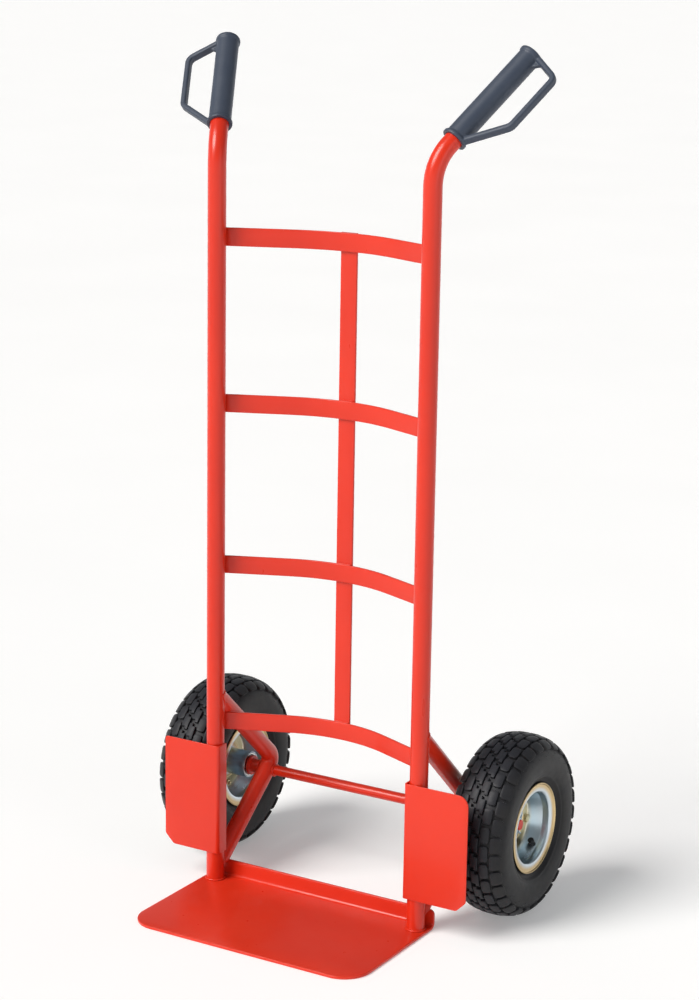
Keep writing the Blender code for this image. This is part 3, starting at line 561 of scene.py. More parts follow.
# %% [markdown]
# ## Rungs and strap
# The rungs are flat bar, bowed backwards so that a drum or a gas bottle lies in them. The bar's
# edges are rolled, not sharp, which the rounded rectangle gives. The strap behind them is straight.

# %% Build the rungs and the strap
RUNG_LEAN = math.radians(22.8)
BOW_RADIUS = 201 * MM
BAR_THICKNESS = 4 * MM
BAR_EDGE = 0.9 * MM

for number in range(1, 5):
    node = f"rung_{number}"
    centre, extent = middle(node), size(node)
    half = extent.x / 2 - BAR_THICKNESS / 2 * math.sin(RUNG_LEAN)
    ends_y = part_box(node)[0].y + BAR_THICKNESS / 2 * math.cos(RUNG_LEAN)
    left_end = Vector((-half, ends_y, centre.z))
    apex = Vector((0, ends_y + half * math.tan(RUNG_LEAN), centre.z))
    along = (apex - left_end).normalized()
    bm = bmesh.new()
    loop = bar_section(bm, BAR_THICKNESS, extent.z, BAR_EDGE, axes(left_end, along.cross(Z), Z))
    sweep(bm, loop, [left_end, apex, Vector((half, ends_y, centre.z))], BOW_RADIUS, 24)
    add_piece(f"fine_{node}", mesh_of(node, bm), "red_paint", "frame", node)

centre, extent = middle("centre_strap"), size("centre_strap")
foot = centre - Z * extent.z / 2
bm = bmesh.new()
loop = bar_section(bm, extent.x, extent.y, BAR_EDGE, axes(foot, X, Y))
sweep(bm, loop, [foot, foot + Z * extent.z], 0, 0)
add_piece("fine_strap", mesh_of("strap", bm), "red_paint", "frame", "centre_strap")
print("strap", f"{extent.z:.3f} m long")

# %% [markdown]
# ## Toe plate
# The plate is one 4 mm sheet: two big round corners at the front, and an upstand folded up behind
# the uprights. It starts as one face, whose front corners are bevelled round. Its rear edge is spun
# about the fold's centre and pulled up. Then the sheet gets its thickness and soft edges.

# %% Build the toe plate
low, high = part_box("toe_plate")
PLATE_THICKNESS = 4 * MM
FOLD_RADIUS = 5 * MM
PLATE_CORNER = 40 * MM
UPSTAND_CORNER = 7 * MM
plate_top = low.z + PLATE_THICKNESS
fold_y = high.y - PLATE_THICKNESS - FOLD_RADIUS


def bevel_verts(bm, picked, radius, segments):
    bmesh.ops.bevel(
        bm, geom=picked, offset=radius, segments=segments, profile=0.5, affect="VERTICES", material=-1
    )


bm = bmesh.new()
bmesh.ops.create_grid(bm, x_segments=1, y_segments=1, size=0.5)
bmesh.ops.scale(bm, vec=(high.x - low.x, fold_y - low.y, 1), verts=bm.verts)
bmesh.ops.translate(bm, vec=(0, (fold_y + low.y) / 2, plate_top), verts=bm.verts)
bevel_verts(bm, [vert for vert in bm.verts if vert.co.y < AXLE.y - TYRE_RADIUS - 0.1], PLATE_CORNER, 16)
rear = [edge for edge in bm.edges if all(abs(vert.co.y - fold_y) < 0.1 * MM for vert in edge.verts)]
fold = Vector((0, fold_y, plate_top + FOLD_RADIUS))
rear = swing(bm, rear, fold, X, math.pi / 2, 8)
rear = push(bm, rear, Z * (high.z - plate_top - FOLD_RADIUS))
bevel_verts(bm, list({vert for edge in rear for vert in edge.verts}), UPSTAND_CORNER, 6)
plate = add_piece("fine_toe_plate", mesh_of("toe_plate", bm), "red_paint", "frame", "toe_plate")
plate_up = plate.data.polygons[0].normal.z > 0
give_wall(plate, PLATE_THICKNESS, -1 if plate_up else 1)
soften(plate, 0.9 * MM)
print("toe plate", f"{high.x - low.x:.3f} x {high.y - low.y:.3f} m")

# %% [markdown]
# ## Wheel guards
# Each guard is 2 mm sheet, folded once round the inside of its upright. Its lower outer corner is
# cut off at 45 degrees, which is a bevel of one segment, and then the cut's own corners are eased.

# %% Build the wheel guards
SHEET = 2 * MM
GUARD_FOLD = 3 * MM
CUT_OFF = 14 * MM
CUT_ROUND = 2.5 * MM
TOP_CORNER = {"left": 4 * MM, "right": 15 * MM}

for side, sign in SIDES:
    low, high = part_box(f"wheel_guard_{side}")
    rear_y = low.y + SHEET
    outer = sign * max(abs(low.x), abs(high.x))
    inner = sign * (min(abs(low.x), abs(high.x)) + SHEET)
    start = inner + sign * GUARD_FOLD
    bm = bmesh.new()
    bmesh.ops.create_grid(bm, x_segments=1, y_segments=1, size=0.5)
    bmesh.ops.scale(bm, vec=(abs(outer - start), high.z - low.z, 1), verts=bm.verts)
    centre = Vector(((outer + start) / 2, rear_y, (low.z + high.z) / 2))
    bmesh.ops.transform(bm, matrix=axes(centre, X, Z), verts=bm.verts)
    outside = [vert for vert in bm.verts if abs(vert.co.x - outer) < 0.1 * MM]
    upper, lower = sorted(outside, key=lambda vert: -vert.co.z)
    bevel_verts(bm, [lower], CUT_OFF, 1)
    below = [vert for vert in bm.verts if vert.co.z < low.z + 1.1 * CUT_OFF]
    cut = [vert for vert in below if abs(vert.co.x - start) > GUARD_FOLD]
    bevel_verts(bm, cut, CUT_ROUND, 4)
    upper = max(bm.verts, key=lambda vert: vert.co.z + sign * vert.co.x)
    bevel_verts(bm, [upper], TOP_CORNER[side], 8)
    edge = [edge for edge in bm.edges if all(abs(vert.co.x - start) < 0.1 * MM for vert in edge.verts)]
    fold = Vector((start, rear_y + GUARD_FOLD, 0))
    edge = swing(bm, edge, fold, Z, -sign * math.pi / 2, 6)
    push(bm, edge, Y * (high.y - rear_y - GUARD_FOLD))
    guard = add_piece(
        f"fine_guard_{side}", mesh_of(f"guard_{side}", bm), "red_paint", "frame", f"wheel_guard_{side}"
    )
    faces_front = guard.data.polygons[0].normal.y < 0
    give_wall(guard, SHEET, 1 if faces_front else -1)
    soften(guard, 0.5 * MM)
    print(f"guard {side}", f"{abs(outer - inner):.4f} m wide")

# %% [markdown]
# ## Axle brackets
# A bracket is a short tube bent to a V. Its upper arm runs into the back of the upright and its
# lower arm to the upright's foot, where the upstand cuts it off level. The bend holds the axle,
# which passes just ahead of the V's sharp corner. The arms end inside the upright, as a coped tube
# does, and a weld covers the joint.

# %% Build the brackets
BRACKET_BEND = 16 * MM
CORNER_BACK, CORNER_RISE = 13.5 * MM, 14.5 * MM
UPSTAND_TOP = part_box("toe_plate")[1].z
LOW_RUNG = middle("rung_4").z
ARM_HEIGHT = LOW_RUNG + 30 * MM + TUBE_RADIUS
FOOT_HEIGHT = PLATE_TOP + 26.5 * MM - TUBE_RADIUS
BURIED = 3 * MM
ARM_PATHS = {}
for side, sign in SIDES:
    x = sign * UPRIGHT_X
    top = Vector((x, UPRIGHT_Y, ARM_HEIGHT))
    foot = Vector((x, UPRIGHT_Y, FOOT_HEIGHT))
    corner = Vector((x, AXLE.y + CORNER_BACK, AXLE.z + CORNER_RISE))
    top += (corner - top) * BURIED / (corner.y - top.y)
    foot += (corner - foot) * BURIED / (corner.y - foot.y)
    ARM_PATHS[side] = (top, corner, foot)
    bm = bmesh.new()
    ring = round_section(bm, TUBE_RADIUS, top, (corner - top).normalized())
    sweep(bm, ring, [top, corner, foot], BRACKET_BEND, 20)
    everything = [*bm.verts, *bm.edges, *bm.faces]
    cut = bmesh.ops.bisect_plane(
        bm, geom=everything, plane_co=(0, 0, UPSTAND_TOP), plane_no=(0, 0, -1), clear_outer=True
    )
    rim = [item for item in cut["geom_cut"] if isinstance(item, bmesh.types.BMEdge)]
    bmesh.ops.edgeloop_fill(bm, edges=rim)
    name = f"fine_bracket_{side}"
    add_piece(name, mesh_of(name, bm), "red_paint", "frame", f"axle_bracket_{side}")
    print(name, f"corner {corner.y - UPRIGHT_Y:.4f} m behind the upright")

# %% [markdown]
# ## Turned pieces
# Rods, collars, hubs, races and rims are all turned about the axle. Each is an outline of radius
# and height, spun a full turn with its last ring merged into its first. Wheel pieces are drawn with
# their outer side up, and a matrix then lays them on the axle.

# %% Helpers for turned pieces
FULL_TURN = 2 * math.pi


def rounded_line(points, radii, steps=5):
    """A line of (radius, height) points with an arc at each inner point."""
    corners = [Vector((x, y, 0)) for x, y in points]
    made = [corners[0]]
    for before, corner, after, radius in zip(corners, corners[1:], corners[2:], radii):
        back, ahead = (before - corner).normalized(), (after - corner).normalized()
        half = back.angle(ahead) / 2
        centre = corner + (back + ahead).normalized() * radius / math.sin(half)
        first = corner + back * radius / math.tan(half) - centre
        swept = math.pi - 2 * half
        way = math.copysign(1, back.cross(ahead).z)
        for step in range(steps + 1):
            turned = Matrix.Rotation(-way * swept * step / steps, 3, "Z") @ first
            made.append(centre + turned)
    made.append(corners[-1])
    return [(point.x, point.y) for point in made]


def turn(bm, line, steps, closed):
    """Spins a line of (radius, height) points a full turn about Z."""
    verts = [bm.verts.new((radius, 0, height)) for radius, height in line]
    pairs = zip(verts, verts[1:] + verts[:1] if closed else verts[1:])
    edges = [bm.edges.new(pair) for pair in pairs]
    bmesh.ops.spin(
        bm, geom=edges, cent=(0, 0, 0), axis=(0, 0, 1), dvec=(0, 0, 0), angle=FULL_TURN, steps=steps,
        use_merge=True,
    )


def eased(corners, radius, steps=3):
    """A closed outline with every corner rounded."""
    ring = corners[-1:] + corners + corners[:1]
    line = rounded_line(ring, [radius] * len(corners), steps)
    return line[1:-1]


def wheel_place(side):
    sign = dict(SIDES)[side]
    return Matrix.Translation((sign * WHEEL_X, AXLE.y, AXLE.z)) @ Matrix.Rotation(sign * math.pi / 2, 4, "Y")


def rect(inner, outer, low, high):
    return [(inner, low), (outer, low), (outer, high), (inner, high)]


# %% [markdown]
# ## Axle and what holds the wheels
# The axle is one round rod from side to side. On each side, a flanged collar keeps the hub off the
# bracket, and a washer and a split pin keep the wheel on. The collar was painted with the frame.

# %% Build the axle, collars, washers and split pins
AXLE_HALF = size("axle").x / 2
bm = bmesh.new()
lying = Matrix.Translation(AXLE) @ Matrix.Rotation(math.pi / 2, 4, "Y")
ends = [(0, -AXLE_HALF), (AXLE_RADIUS, -AXLE_HALF), (AXLE_RADIUS, AXLE_HALF), (0, AXLE_HALF)]
turn(bm, rounded_line(ends, [1.2 * MM, 1.2 * MM]), 40, closed=False)
add_piece("fine_axle", mesh_of("axle", bm, lying), "red_paint", "frame", "axle")

WIRE_RADIUS = 1.3 * MM
EYE_RADIUS = 3.8 * MM
EYE_TURN = math.radians(280)
EYE_STEPS = 24


def wire(name, runs, radius, ripple=0.0):
    """Round wire or weld bead along lists of points, swollen every few points by ripple."""
    curve = bpy.data.curves.new(name, "CURVE")
    curve.dimensions = "3D"
    curve.bevel_depth = radius
    curve.bevel_resolution = 3
    curve.use_fill_caps = True
    for points, closed in runs:
        spline = curve.splines.new("POLY")
        spline.points.add(len(points) - 1)
        spline.use_cyclic_u = closed
        for index, (control, point) in enumerate(zip(spline.points, points)):
            control.co = (*point, 1)
            control.radius = 1 + ripple * math.sin(index * math.pi / 2) + ripple / 2 * math.sin(index * 1.7)
    guide = bpy.data.objects.new(name, curve)
    bpy.context.scene.collection.objects.link(guide)
    bpy.context.view_layer.update()
    mesh = bpy.data.meshes.new_from_object(guide.evaluated_get(bpy.context.evaluated_depsgraph_get()))
    bpy.data.objects.remove(guide)
    bm = bmesh.new()
    bm.from_mesh(mesh)
    return mesh_of(name, bm)


for side, sign in SIDES:
    place = wheel_place(side)
    for node, slot, ease in (("axle_collar", "red_paint", 0.8), ("axle_washer", "zinc_plate", 0.4)):
        low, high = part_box(f"{node}_{side}")
        inner_x, outer_x = sorted((abs(low.x) - WHEEL_X, abs(high.x) - WHEEL_X))
        radius = (high.z - low.z) / 2
        outline = rect(AXLE_RADIUS + 0.3 * MM, radius, inner_x, outer_x)
        if node == "axle_collar":
            sleeve, flange = 10 * MM, outer_x - 4 * MM
            outline = [outline[0], (sleeve, inner_x), (sleeve, flange), (radius, flange), *outline[2:]]
        bm = bmesh.new()
        turn(bm, eased(outline, ease * MM), 40, closed=True)
        add_piece(f"fine_{node}_{side}", mesh_of(node, bm, place), slot, "frame", f"{node}_{side}")
    pin = middle(f"split_pin_{side}").x
    neck = AXLE.z + AXLE_RADIUS + EYE_RADIUS + 2 * WIRE_RADIUS
    tail = AXLE.z - AXLE_RADIUS - 3 * MM
    bent = [(4 * MM, tail - 3 * MM), (1.5 * MM, tail - 1.5 * MM), (0, tail), (0, neck)]
    points = [Vector((pin, AXLE.y + back, height)) for back, height in bent]
    for step in range(1, EYE_STEPS + 1):
        angle = math.pi - step * EYE_TURN / EYE_STEPS
        back, up = EYE_RADIUS * (1 + math.cos(angle)), EYE_RADIUS * math.sin(angle)
        points.append(Vector((pin, AXLE.y + back, neck + up)))
    mesh = wire(f"split_pin_{side}", [(points, False)], WIRE_RADIUS)
    add_piece(f"fine_split_pin_{side}", mesh, "zinc_plate", "frame", f"split_pin_{side}")
    print(f"{side} axle end: collar, washer and split pin")

# %% [markdown]
# ## Tyre carcass
# A pneumatic tyre's section is a full, squarish round. Its outline here is a superellipse, flatter
# than a circle at the crown and the sides, closed at the bottom by two beads that sit in the rim.
# Thin ribs run round the sidewall. The lugs come after it and stand on this carcass.

# %% Outline of the carcass
SECTION_RADIUS = 93 * MM
CARCASS_CROWN = 29.6 * MM
CARCASS_BELOW = 34 * MM
CARCASS_HALF = 42.3 * MM
SECTION_POWER = 2.6
SECTION_START = math.radians(-35)
RIBS = ((72.5, 1.1, 1.2), (78.5, 0.35, 0.6), (90.0, 0.4, 0.7))  # radius, height and spread in mm
BEAD_INNER, BEAD_OUTER = 25.2 * MM, 31.2 * MM
BEAD_RADIUS, BEAD_LIP = 52.0 * MM, 64 * MM


def section_point(angle, crown, half_width):
    """(radius, height) on the section; 0 is the outer side and a quarter turn is the crown."""
    c, s = math.cos(angle), math.sin(angle)
    rise = crown if s > 0 else CARCASS_BELOW
    radius = SECTION_RADIUS + rise * math.copysign(abs(s) ** (2 / SECTION_POWER), s)
    return radius, half_width * math.copysign(abs(c) ** (2 / SECTION_POWER), c)


def section_line(crown, half_width, steps, ribbed):
    line = []
    for step in range(steps + 1):
        radius, height = section_point(
            SECTION_START + (math.pi - 2 * SECTION_START) * step / steps, crown, half_width
        )
        swell = sum(rise * math.exp(-(((radius / MM - at) / spread) ** 2)) for at, rise, spread in RIBS)
        line.append((radius, height + math.copysign(swell * MM * ribbed, height)))
    return line


def bead_line(way):
    return [
        (BEAD_LIP, way * BEAD_OUTER),
        (BEAD_RADIUS + 4 * MM, way * BEAD_OUTER),
        (BEAD_RADIUS, way * (BEAD_OUTER - 4 * MM)),
        (BEAD_RADIUS, way * BEAD_INNER),
    ]


def carcass_outline():
    outside = section_line(CARCASS_CROWN, CARCASS_HALF, 88, ribbed=1)
    inside = section_line(CARCASS_CROWN - 4 * MM, CARCASS_HALF - 5 * MM, 16, ribbed=0)
    return bead_line(1)[::-1] + outside + bead_line(-1) + inside[::-1]


print("carcass outline:", len(carcass_outline()), "points")

# %% [markdown]
# ## Tread
# The tread has thirty pitches. Each has two stepped blocks beside the middle groove, two long round
# lugs outside them and two shoulder lugs that wrap round the edge and notch the outline. A lug is
# drawn flat, raised, bevelled, and cut along and across so that it can bend. Then each of its points
# is moved onto the carcass: across the tread by arc length, and along it by angle. The pitch is then
# copied round the tyre. Small moulded dots lie outside the shoulder lugs.

# %% Lay a flat lug on the carcass
PITCHES = 30
PITCH = FULL_TURN * TYRE_RADIUS / PITCHES
CROWN_STEPS = 240
SUNK = 1.0 * MM
ALONG_CUTS = (-5.5, 0.0, 5.5)
LUG_EDGE = 1.0 * MM


def crown_table():
    """Points down one side of the carcass from the crown, with their arc length and normal."""
    rows, length, before = [], 0.0, None
    for step in range(CROWN_STEPS + 1):
        angle = math.pi / 2 - (math.pi / 2) * step / CROWN_STEPS
        point = Vector(section_point(angle, CARCASS_CROWN, CARCASS_HALF))
        if before is not None:
            length += (point - before).length
        rows.append((length, point))
        before = point
    return rows


CROWN = crown_table()


def on_carcass(across, height):
    """(radius, height) of a point that far across the tread and that high above the carcass."""
    way = math.copysign(1, across)
    place = min(range(1, CROWN_STEPS), key=lambda index: abs(CROWN[index][0] - abs(across)))
    before, after = CROWN[place - 1][1], CROWN[place + 1][1]
    along = (after - before).normalized()
    point = CROWN[place][1] + along * (abs(across) - CROWN[place][0])
    normal = Vector((-along.y, along.x))
    normal *= math.copysign(1, normal.dot(point - Vector((SECTION_RADIUS, 0))))
    point = point + normal * height
    return point.x, way * point.y


def lay(bm, verts, start):
    for vert in verts:
        along, across, height = vert.co
        radius, out = on_carcass(across, height)
        angle = (start + along) / TYRE_RADIUS
        vert.co = (radius * math.cos(angle), radius * math.sin(angle), out)


def raise_lug(bm, outline, height, start, cuts=()):
    """One lug from its flat outline in mm, as (along, across) points."""
    lug = bmesh.new()
    face = lug.faces.new([lug.verts.new((x * MM, y * MM, -SUNK)) for x, y in outline])
    top = verts_in(bmesh.ops.extrude_face_region(lug, geom=[face])["geom"])
    bmesh.ops.translate(lug, vec=(0, 0, height + SUNK), verts=top)
    bmesh.ops.recalc_face_normals(lug, faces=lug.faces)
    rim = [edge for edge in lug.edges if set(edge.verts) <= set(top)]
    bmesh.ops.bevel(
        lug, geom=rim, offset=LUG_EDGE, segments=2, profile=0.5, affect="EDGES", material=-1,
        offset_type="OFFSET",
    )
    for place, way in [((0, cut * MM, 0), Y) for cut in cuts] + [((cut * MM, 0, 0), X) for cut in ALONG_CUTS]:
        everything = [*lug.verts, *lug.edges, *lug.faces]
        bmesh.ops.bisect_plane(lug, geom=everything, plane_co=place, plane_no=way)
    lay(lug, lug.verts, start)
    flat = bpy.data.meshes.new("lug")
    lug.to_mesh(flat)
    lug.free()
    bm.from_mesh(flat)
    bpy.data.meshes.remove(flat)


# %% The lugs of one pitch
def mirrored(outline, way):
    """The outline on the other side of the tread, turned half round so that the steps match."""
    return [(way * x, way * y) for x, y in outline]


CENTRE_BLOCK = [
    (-12.2, 0.8), (8.0, 0.8), (8.0, 6.2), (12.2, 6.2), (12.2, 11.6), (-8.0, 11.6), (-8.0, 6.2), (-12.2, 6.2),
]
LONG_LUG = [
    (-11.0, 16.4), (-10.0, 14.2), (-7.6, 13.2), (7.6, 13.2), (10.0, 14.2), (11.0, 16.4),
    (11.0, 21.8), (10.0, 24.0), (7.6, 25.0), (-7.6, 25.0), (-10.0, 24.0), (-11.0, 21.8),
]
SHOULDER_LUG = [
    (-10.4, 28.4), (-8.6, 26.8), (8.6, 26.8), (10.4, 28.4), (11.2, 31.0), (11.2, 37.6),
    (9.6, 40.6), (6.6, 42.0), (-6.6, 42.0), (-9.6, 40.6), (-11.2, 37.6), (-11.2, 31.0),
]
SHOULDER_CUTS = (29.6, 32.5, 35.0, 38.8)
CROWN_HEIGHT = TYRE_RADIUS - SECTION_RADIUS - CARCASS_CROWN
LONG_HEIGHT, SHOULDER_HEIGHT = 4.0 * MM, 3.6 * MM
DOT_RADIUS = 0.7 * MM


def lay_pitch(bm):
    for way in (1, -1):
        near = 0 if way > 0 else PITCH / 2
        far = near + PITCH / 2
        raise_lug(bm, mirrored(CENTRE_BLOCK, way), CROWN_HEIGHT, near)
        raise_lug(bm, mirrored(LONG_LUG, way), LONG_HEIGHT, far)
        cuts = [way * cut for cut in SHOULDER_CUTS]
        raise_lug(bm, mirrored(SHOULDER_LUG, way), SHOULDER_HEIGHT, near, cuts)
        for across, along in ((46.5, 0.0), (50.0, 9.0)):
            radius, out = on_carcass(way * across * MM, 0)
            angle = along * MM / TYRE_RADIUS
            spot = Vector((radius * math.cos(angle), radius * math.sin(angle), out))
            bmesh.ops.create_icosphere(bm, subdivisions=1, radius=DOT_RADIUS, matrix=Matrix.Translation(spot))


def build_tyre(side):
    tread = bmesh.new()
    lay_pitch(tread)
    bmesh.ops.spin(
        tread, geom=[*tread.verts, *tread.edges, *tread.faces], cent=(0, 0, 0), axis=(0, 0, 1),
        dvec=(0, 0, 0), angle=FULL_TURN * (PITCHES - 1) / PITCHES, steps=PITCHES - 1, use_duplicate=True,
    )
    carcass = bmesh.new()
    turn(carcass, carcass_outline(), 120, closed=True)
    bmesh.ops.remove_doubles(carcass, verts=carcass.verts, dist=0.002 * MM)
    bmesh.ops.recalc_face_normals(carcass, faces=carcass.faces)
    mesh = bpy.data.meshes.new("carcass")
    carcass.to_mesh(mesh)
    carcass.free()
    tread.from_mesh(mesh)
    bpy.data.meshes.remove(mesh)
    made = mesh_of(f"tyre_{side}", tread, wheel_place(side))
    return add_piece(f"fine_tyre_{side}", made, "tyre_rubber", f"wheel_{side}", f"tyre_{side}")


for side, _ in SIDES:
    tyre = build_tyre(side)
    print(tyre.name, len(tyre.data.polygons), "faces")

# %% [markdown]
# ## Inner tube and valve
# The tube fills the tyre and is seen only where its valve comes out through the rim: a rubber stem
# on a wider foot, with a ribbed cap. Tube and valve are one bonded piece.

# %% Build the inner tubes
VALVE_ANGLE = math.radians(-50)
VALVE_OFFSET = 17 * MM
TUBE_FOOT = 54.5 * MM


def valve_place(side):
    """Z runs from the tube towards the axle, along the valve."""
    spoke = Vector((0, math.cos(VALVE_ANGLE), math.sin(VALVE_ANGLE)))
    sign = dict(SIDES)[side]
    root = Vector((sign * (WHEEL_X + VALVE_OFFSET), AXLE.y, AXLE.z)) + spoke * TUBE_FOOT
    return axes(root, X, (-spoke).cross(X))


VALVE_LINE = [
    (0, 0), (5.4 * MM, 0), (5.4 * MM, 3.4 * MM), (4.2 * MM, 4.6 * MM), (3.9 * MM, 11.5 * MM),
    (4.3 * MM, 11.7 * MM), (4.3 * MM, 16.6 * MM), (3.4 * MM, 17.6 * MM), (0, 17.6 * MM),
]
for side, _ in SIDES:
    bm = bmesh.new()
    shrink = 0.6 * MM
    air_side = section_line(CARCASS_CROWN - 4 * MM - shrink, CARCASS_HALF - 5 * MM - shrink, 24, ribbed=0)
    flat = [(TUBE_FOOT, -BEAD_INNER + MM), (TUBE_FOOT, BEAD_INNER - MM)]
    turn(bm, flat + [point for point in air_side if point[0] > TUBE_FOOT], 72, closed=True)
    stem = bmesh.new()
    turn(stem, VALVE_LINE, 28, closed=False)
    stem_mesh = mesh_of("valve", stem, wheel_place(side).inverted() @ valve_place(side))
    bm.from_mesh(stem_mesh)
    bpy.data.meshes.remove(stem_mesh)
    made = mesh_of(f"inner_tube_{side}", bm, wheel_place(side))
    add_piece(f"fine_inner_tube_{side}", made, "tube_rubber", f"wheel_{side}", f"inner_tube_{side}")
    print(f"inner tube {side}, valve at {math.degrees(VALVE_ANGLE):.0f} degrees")

# %% [markdown]
# ## Rims
# Each rim is two pressed dishes, back to back and bolted together. From the hub outwards a dish has
# a flat disc with a shallow pressed ring, a deep wall, a narrow seat for the bead, and a flange
# whose lip is rolled outwards. The line is spun and then given the sheet's thickness.

# %% Build the rims
RIM_SHEET = 2 * MM
RIM_LINE = [
    (19.4, 1.2), (25.5, 1.2), (27.0, 2.2), (30.0, 2.2), (31.5, 1.2), (42.2, 1.2), (47.6, 14.5), (50.6, 22.0),
    (50.7, 32.4), (61.4, 32.6), (63.0, 35.4),
]
RIM_BENDS = (1.2, 1.2, 1.2, 1.2, 4.0, 9.0, 5.0, 2.2, 2.4)

for side, _ in SIDES:
    for where, way in (("outer", 1), ("inner", -1)):
        line = rounded_line([(radius * MM, way * height * MM) for radius, height in RIM_LINE],
                            [bend * MM for bend in RIM_BENDS], 5)
        bm = bmesh.new()
        turn(bm, line, 96, closed=False)
        node = f"rim_{where}_{side}"
        dish = mesh_of(node, bm, wheel_place(side))
        rim = add_piece(f"fine_{node}", dish, "zinc_plate", f"wheel_{side}", node)
        give_wall(rim, RIM_SHEET, 0)
        soften(rim, 0.8 * MM, 3, math.radians(60))
        print(node, len(line), "points in its line")

# %% [markdown]
# ## Hubs and bearings
# A hub is a plain tube through both rims. A ball bearing is pressed into each end: an outer race, an
# inner race, seven balls and a cage. They are small, but a look along the axle shows them. The races
# are drawn without their grooves, so the balls are smaller than real ones, which sit in a groove.

# %% Build the hubs and bearings
def wheel_span(node):
    """The node's extent along its wheel's axis."""
    low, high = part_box(node)
    return sorted((abs(low.x) - WHEEL_X, abs(high.x) - WHEEL_X))


HUB_RADIUS = 19 * MM
HUB_WALL = 1.2 * MM
RACE = 2.8 * MM
BALLS = 7
BALL_RADIUS = 1.43 * MM

for side, _ in SIDES:
    body, place = f"wheel_{side}", wheel_place(side)
    near, far = wheel_span(f"hub_{side}")
    bm = bmesh.new()
    turn(bm, eased(rect(HUB_RADIUS - HUB_WALL, HUB_RADIUS, near, far), 0.4 * MM), 64, closed=True)
    add_piece(f"fine_hub_{side}", mesh_of("hub", bm, place), "zinc_plate", body, f"hub_{side}")
    inner_back = AXLE_RADIUS + 0.3 * MM
    outer_back = HUB_RADIUS - HUB_WALL - 0.3 * MM
    pitch_radius = (inner_back + outer_back) / 2
    for where in ("inboard", "outboard"):
        node = f"{where}_bearing_inner_race_{side}"
        near, far = wheel_span(node)
        for kind, owner, low_r, high_r in (
            ("inner", "frame", inner_back, inner_back + RACE), ("outer", body, outer_back - RACE, outer_back)
        ):
            node = f"{where}_bearing_{kind}_race_{side}"
            bm = bmesh.new()
            turn(bm, eased(rect(low_r, high_r, near, far), 0.5 * MM), 48, closed=True)
            add_piece(f"fine_{node}", mesh_of(node, bm, place), "bearing_steel", owner, node)
        bm = bmesh.new()
        centre = (near + far) / 2
        for index in range(BALLS):
            spot = Matrix.Rotation(FULL_TURN * index / BALLS, 4, "Z") @ Vector((pitch_radius, 0, centre))
            place_of_ball = Matrix.Translation(spot)
            bmesh.ops.create_uvsphere(
                bm, u_segments=20, v_segments=12, radius=BALL_RADIUS, matrix=place_of_ball
            )
        cage = rect(pitch_radius - 0.6 * MM, pitch_radius + 0.6 * MM, centre - 2 * MM, centre + 2 * MM)
        turn(bm, eased(cage, 0.2 * MM), 48, closed=True)
        node = f"{where}_bearing_balls_{side}"
        add_piece(f"fine_{node}", mesh_of(node, bm, place), "bearing_steel", body, node)
    print(f"hub {side} with two bearings")

# %% [markdown]
# ## Rim bolts and nuts
# Four bolts hold the two dishes of each rim together. A real hexagon has its corners turned off at
# about 30 degrees, so it is cut from a cone-ended blank: the six-sided prism is bevelled on top
# only. A flat washer lies under each head and nut.

# %% Build the bolts and nuts
HEX_RADIUS = 5.8 * MM
BOLT_RADIUS = 3 * MM


def hexagon(bm, low, high):
    bmesh.ops.create_cone(
        bm, cap_ends=True, segments=6, radius1=HEX_RADIUS, radius2=HEX_RADIUS, depth=high - low,
        matrix=Matrix.Translation((0, 0, (low + high) / 2)),
    )
    top = [edge for edge in bm.edges if all(abs(vert.co.z - high) < 0.01 * MM for vert in edge.verts)]
    bmesh.ops.bevel(
        bm, geom=top, offset=0.7 * MM, segments=2, profile=0.5, affect="EDGES", material=-1,
        offset_type="OFFSET",
    )


def bolt_place(node, side, sign, way):
    """On the bolt's own axis, with Z pointing out of the rim on the way's side."""
    low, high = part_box(node)
    at = Vector((sign * WHEEL_X, (low.y + high.y) / 2, (low.z + high.z) / 2))
    return Matrix.Translation(at) @ Matrix.Rotation(way * sign * math.pi / 2, 4, "Y")


SEAT = 2.25 * MM
WASHER_RADIUS, WASHER = 6.6 * MM, 1.0 * MM
for side, sign in SIDES:
    for number in range(1, 5):
        node = f"rim_bolt_{side}_{number}"
        bm = bmesh.new()
        hexagon(bm, SEAT + WASHER, SEAT + 4.6 * MM)
        turn(bm, eased(rect(0.1 * MM, WASHER_RADIUS, SEAT, SEAT + WASHER), 0.3 * MM), 32, closed=True)
        shank = [(0, -SEAT - 8 * MM), (BOLT_RADIUS, -SEAT - 8 * MM), (BOLT_RADIUS, SEAT), (0, SEAT)]
        turn(bm, rounded_line(shank, [0.6 * MM, 0.3 * MM]), 20, closed=False)
        place = bolt_place(node, side, sign, 1)
        add_piece(f"fine_{node}", mesh_of(node, bm, place), "zinc_plate", f"wheel_{side}", node)
        node = f"rim_nut_{side}_{number}"
        bm = bmesh.new()
        hexagon(bm, SEAT + WASHER, SEAT + 5.4 * MM)
        turn(bm, eased(rect(0.1 * MM, WASHER_RADIUS, SEAT, SEAT + WASHER), 0.3 * MM), 32, closed=True)
        place = bolt_place(node, side, sign, -1)
        add_piece(f"fine_{node}", mesh_of(node, bm, place), "zinc_plate", f"wheel_{side}", node)
    print(f"{side} rim: four bolts and four nuts")

# %% [markdown]
# ## Grips
# The grip is one moulding: a sleeve with a flange below and a rimmed cap above, and a flat knuckle
# bar from flange to cap. Moulded plastic has no sharp inside corners. So the parts are drawn
# separately, remeshed together into one skin and then smoothed, which fillets every joint.

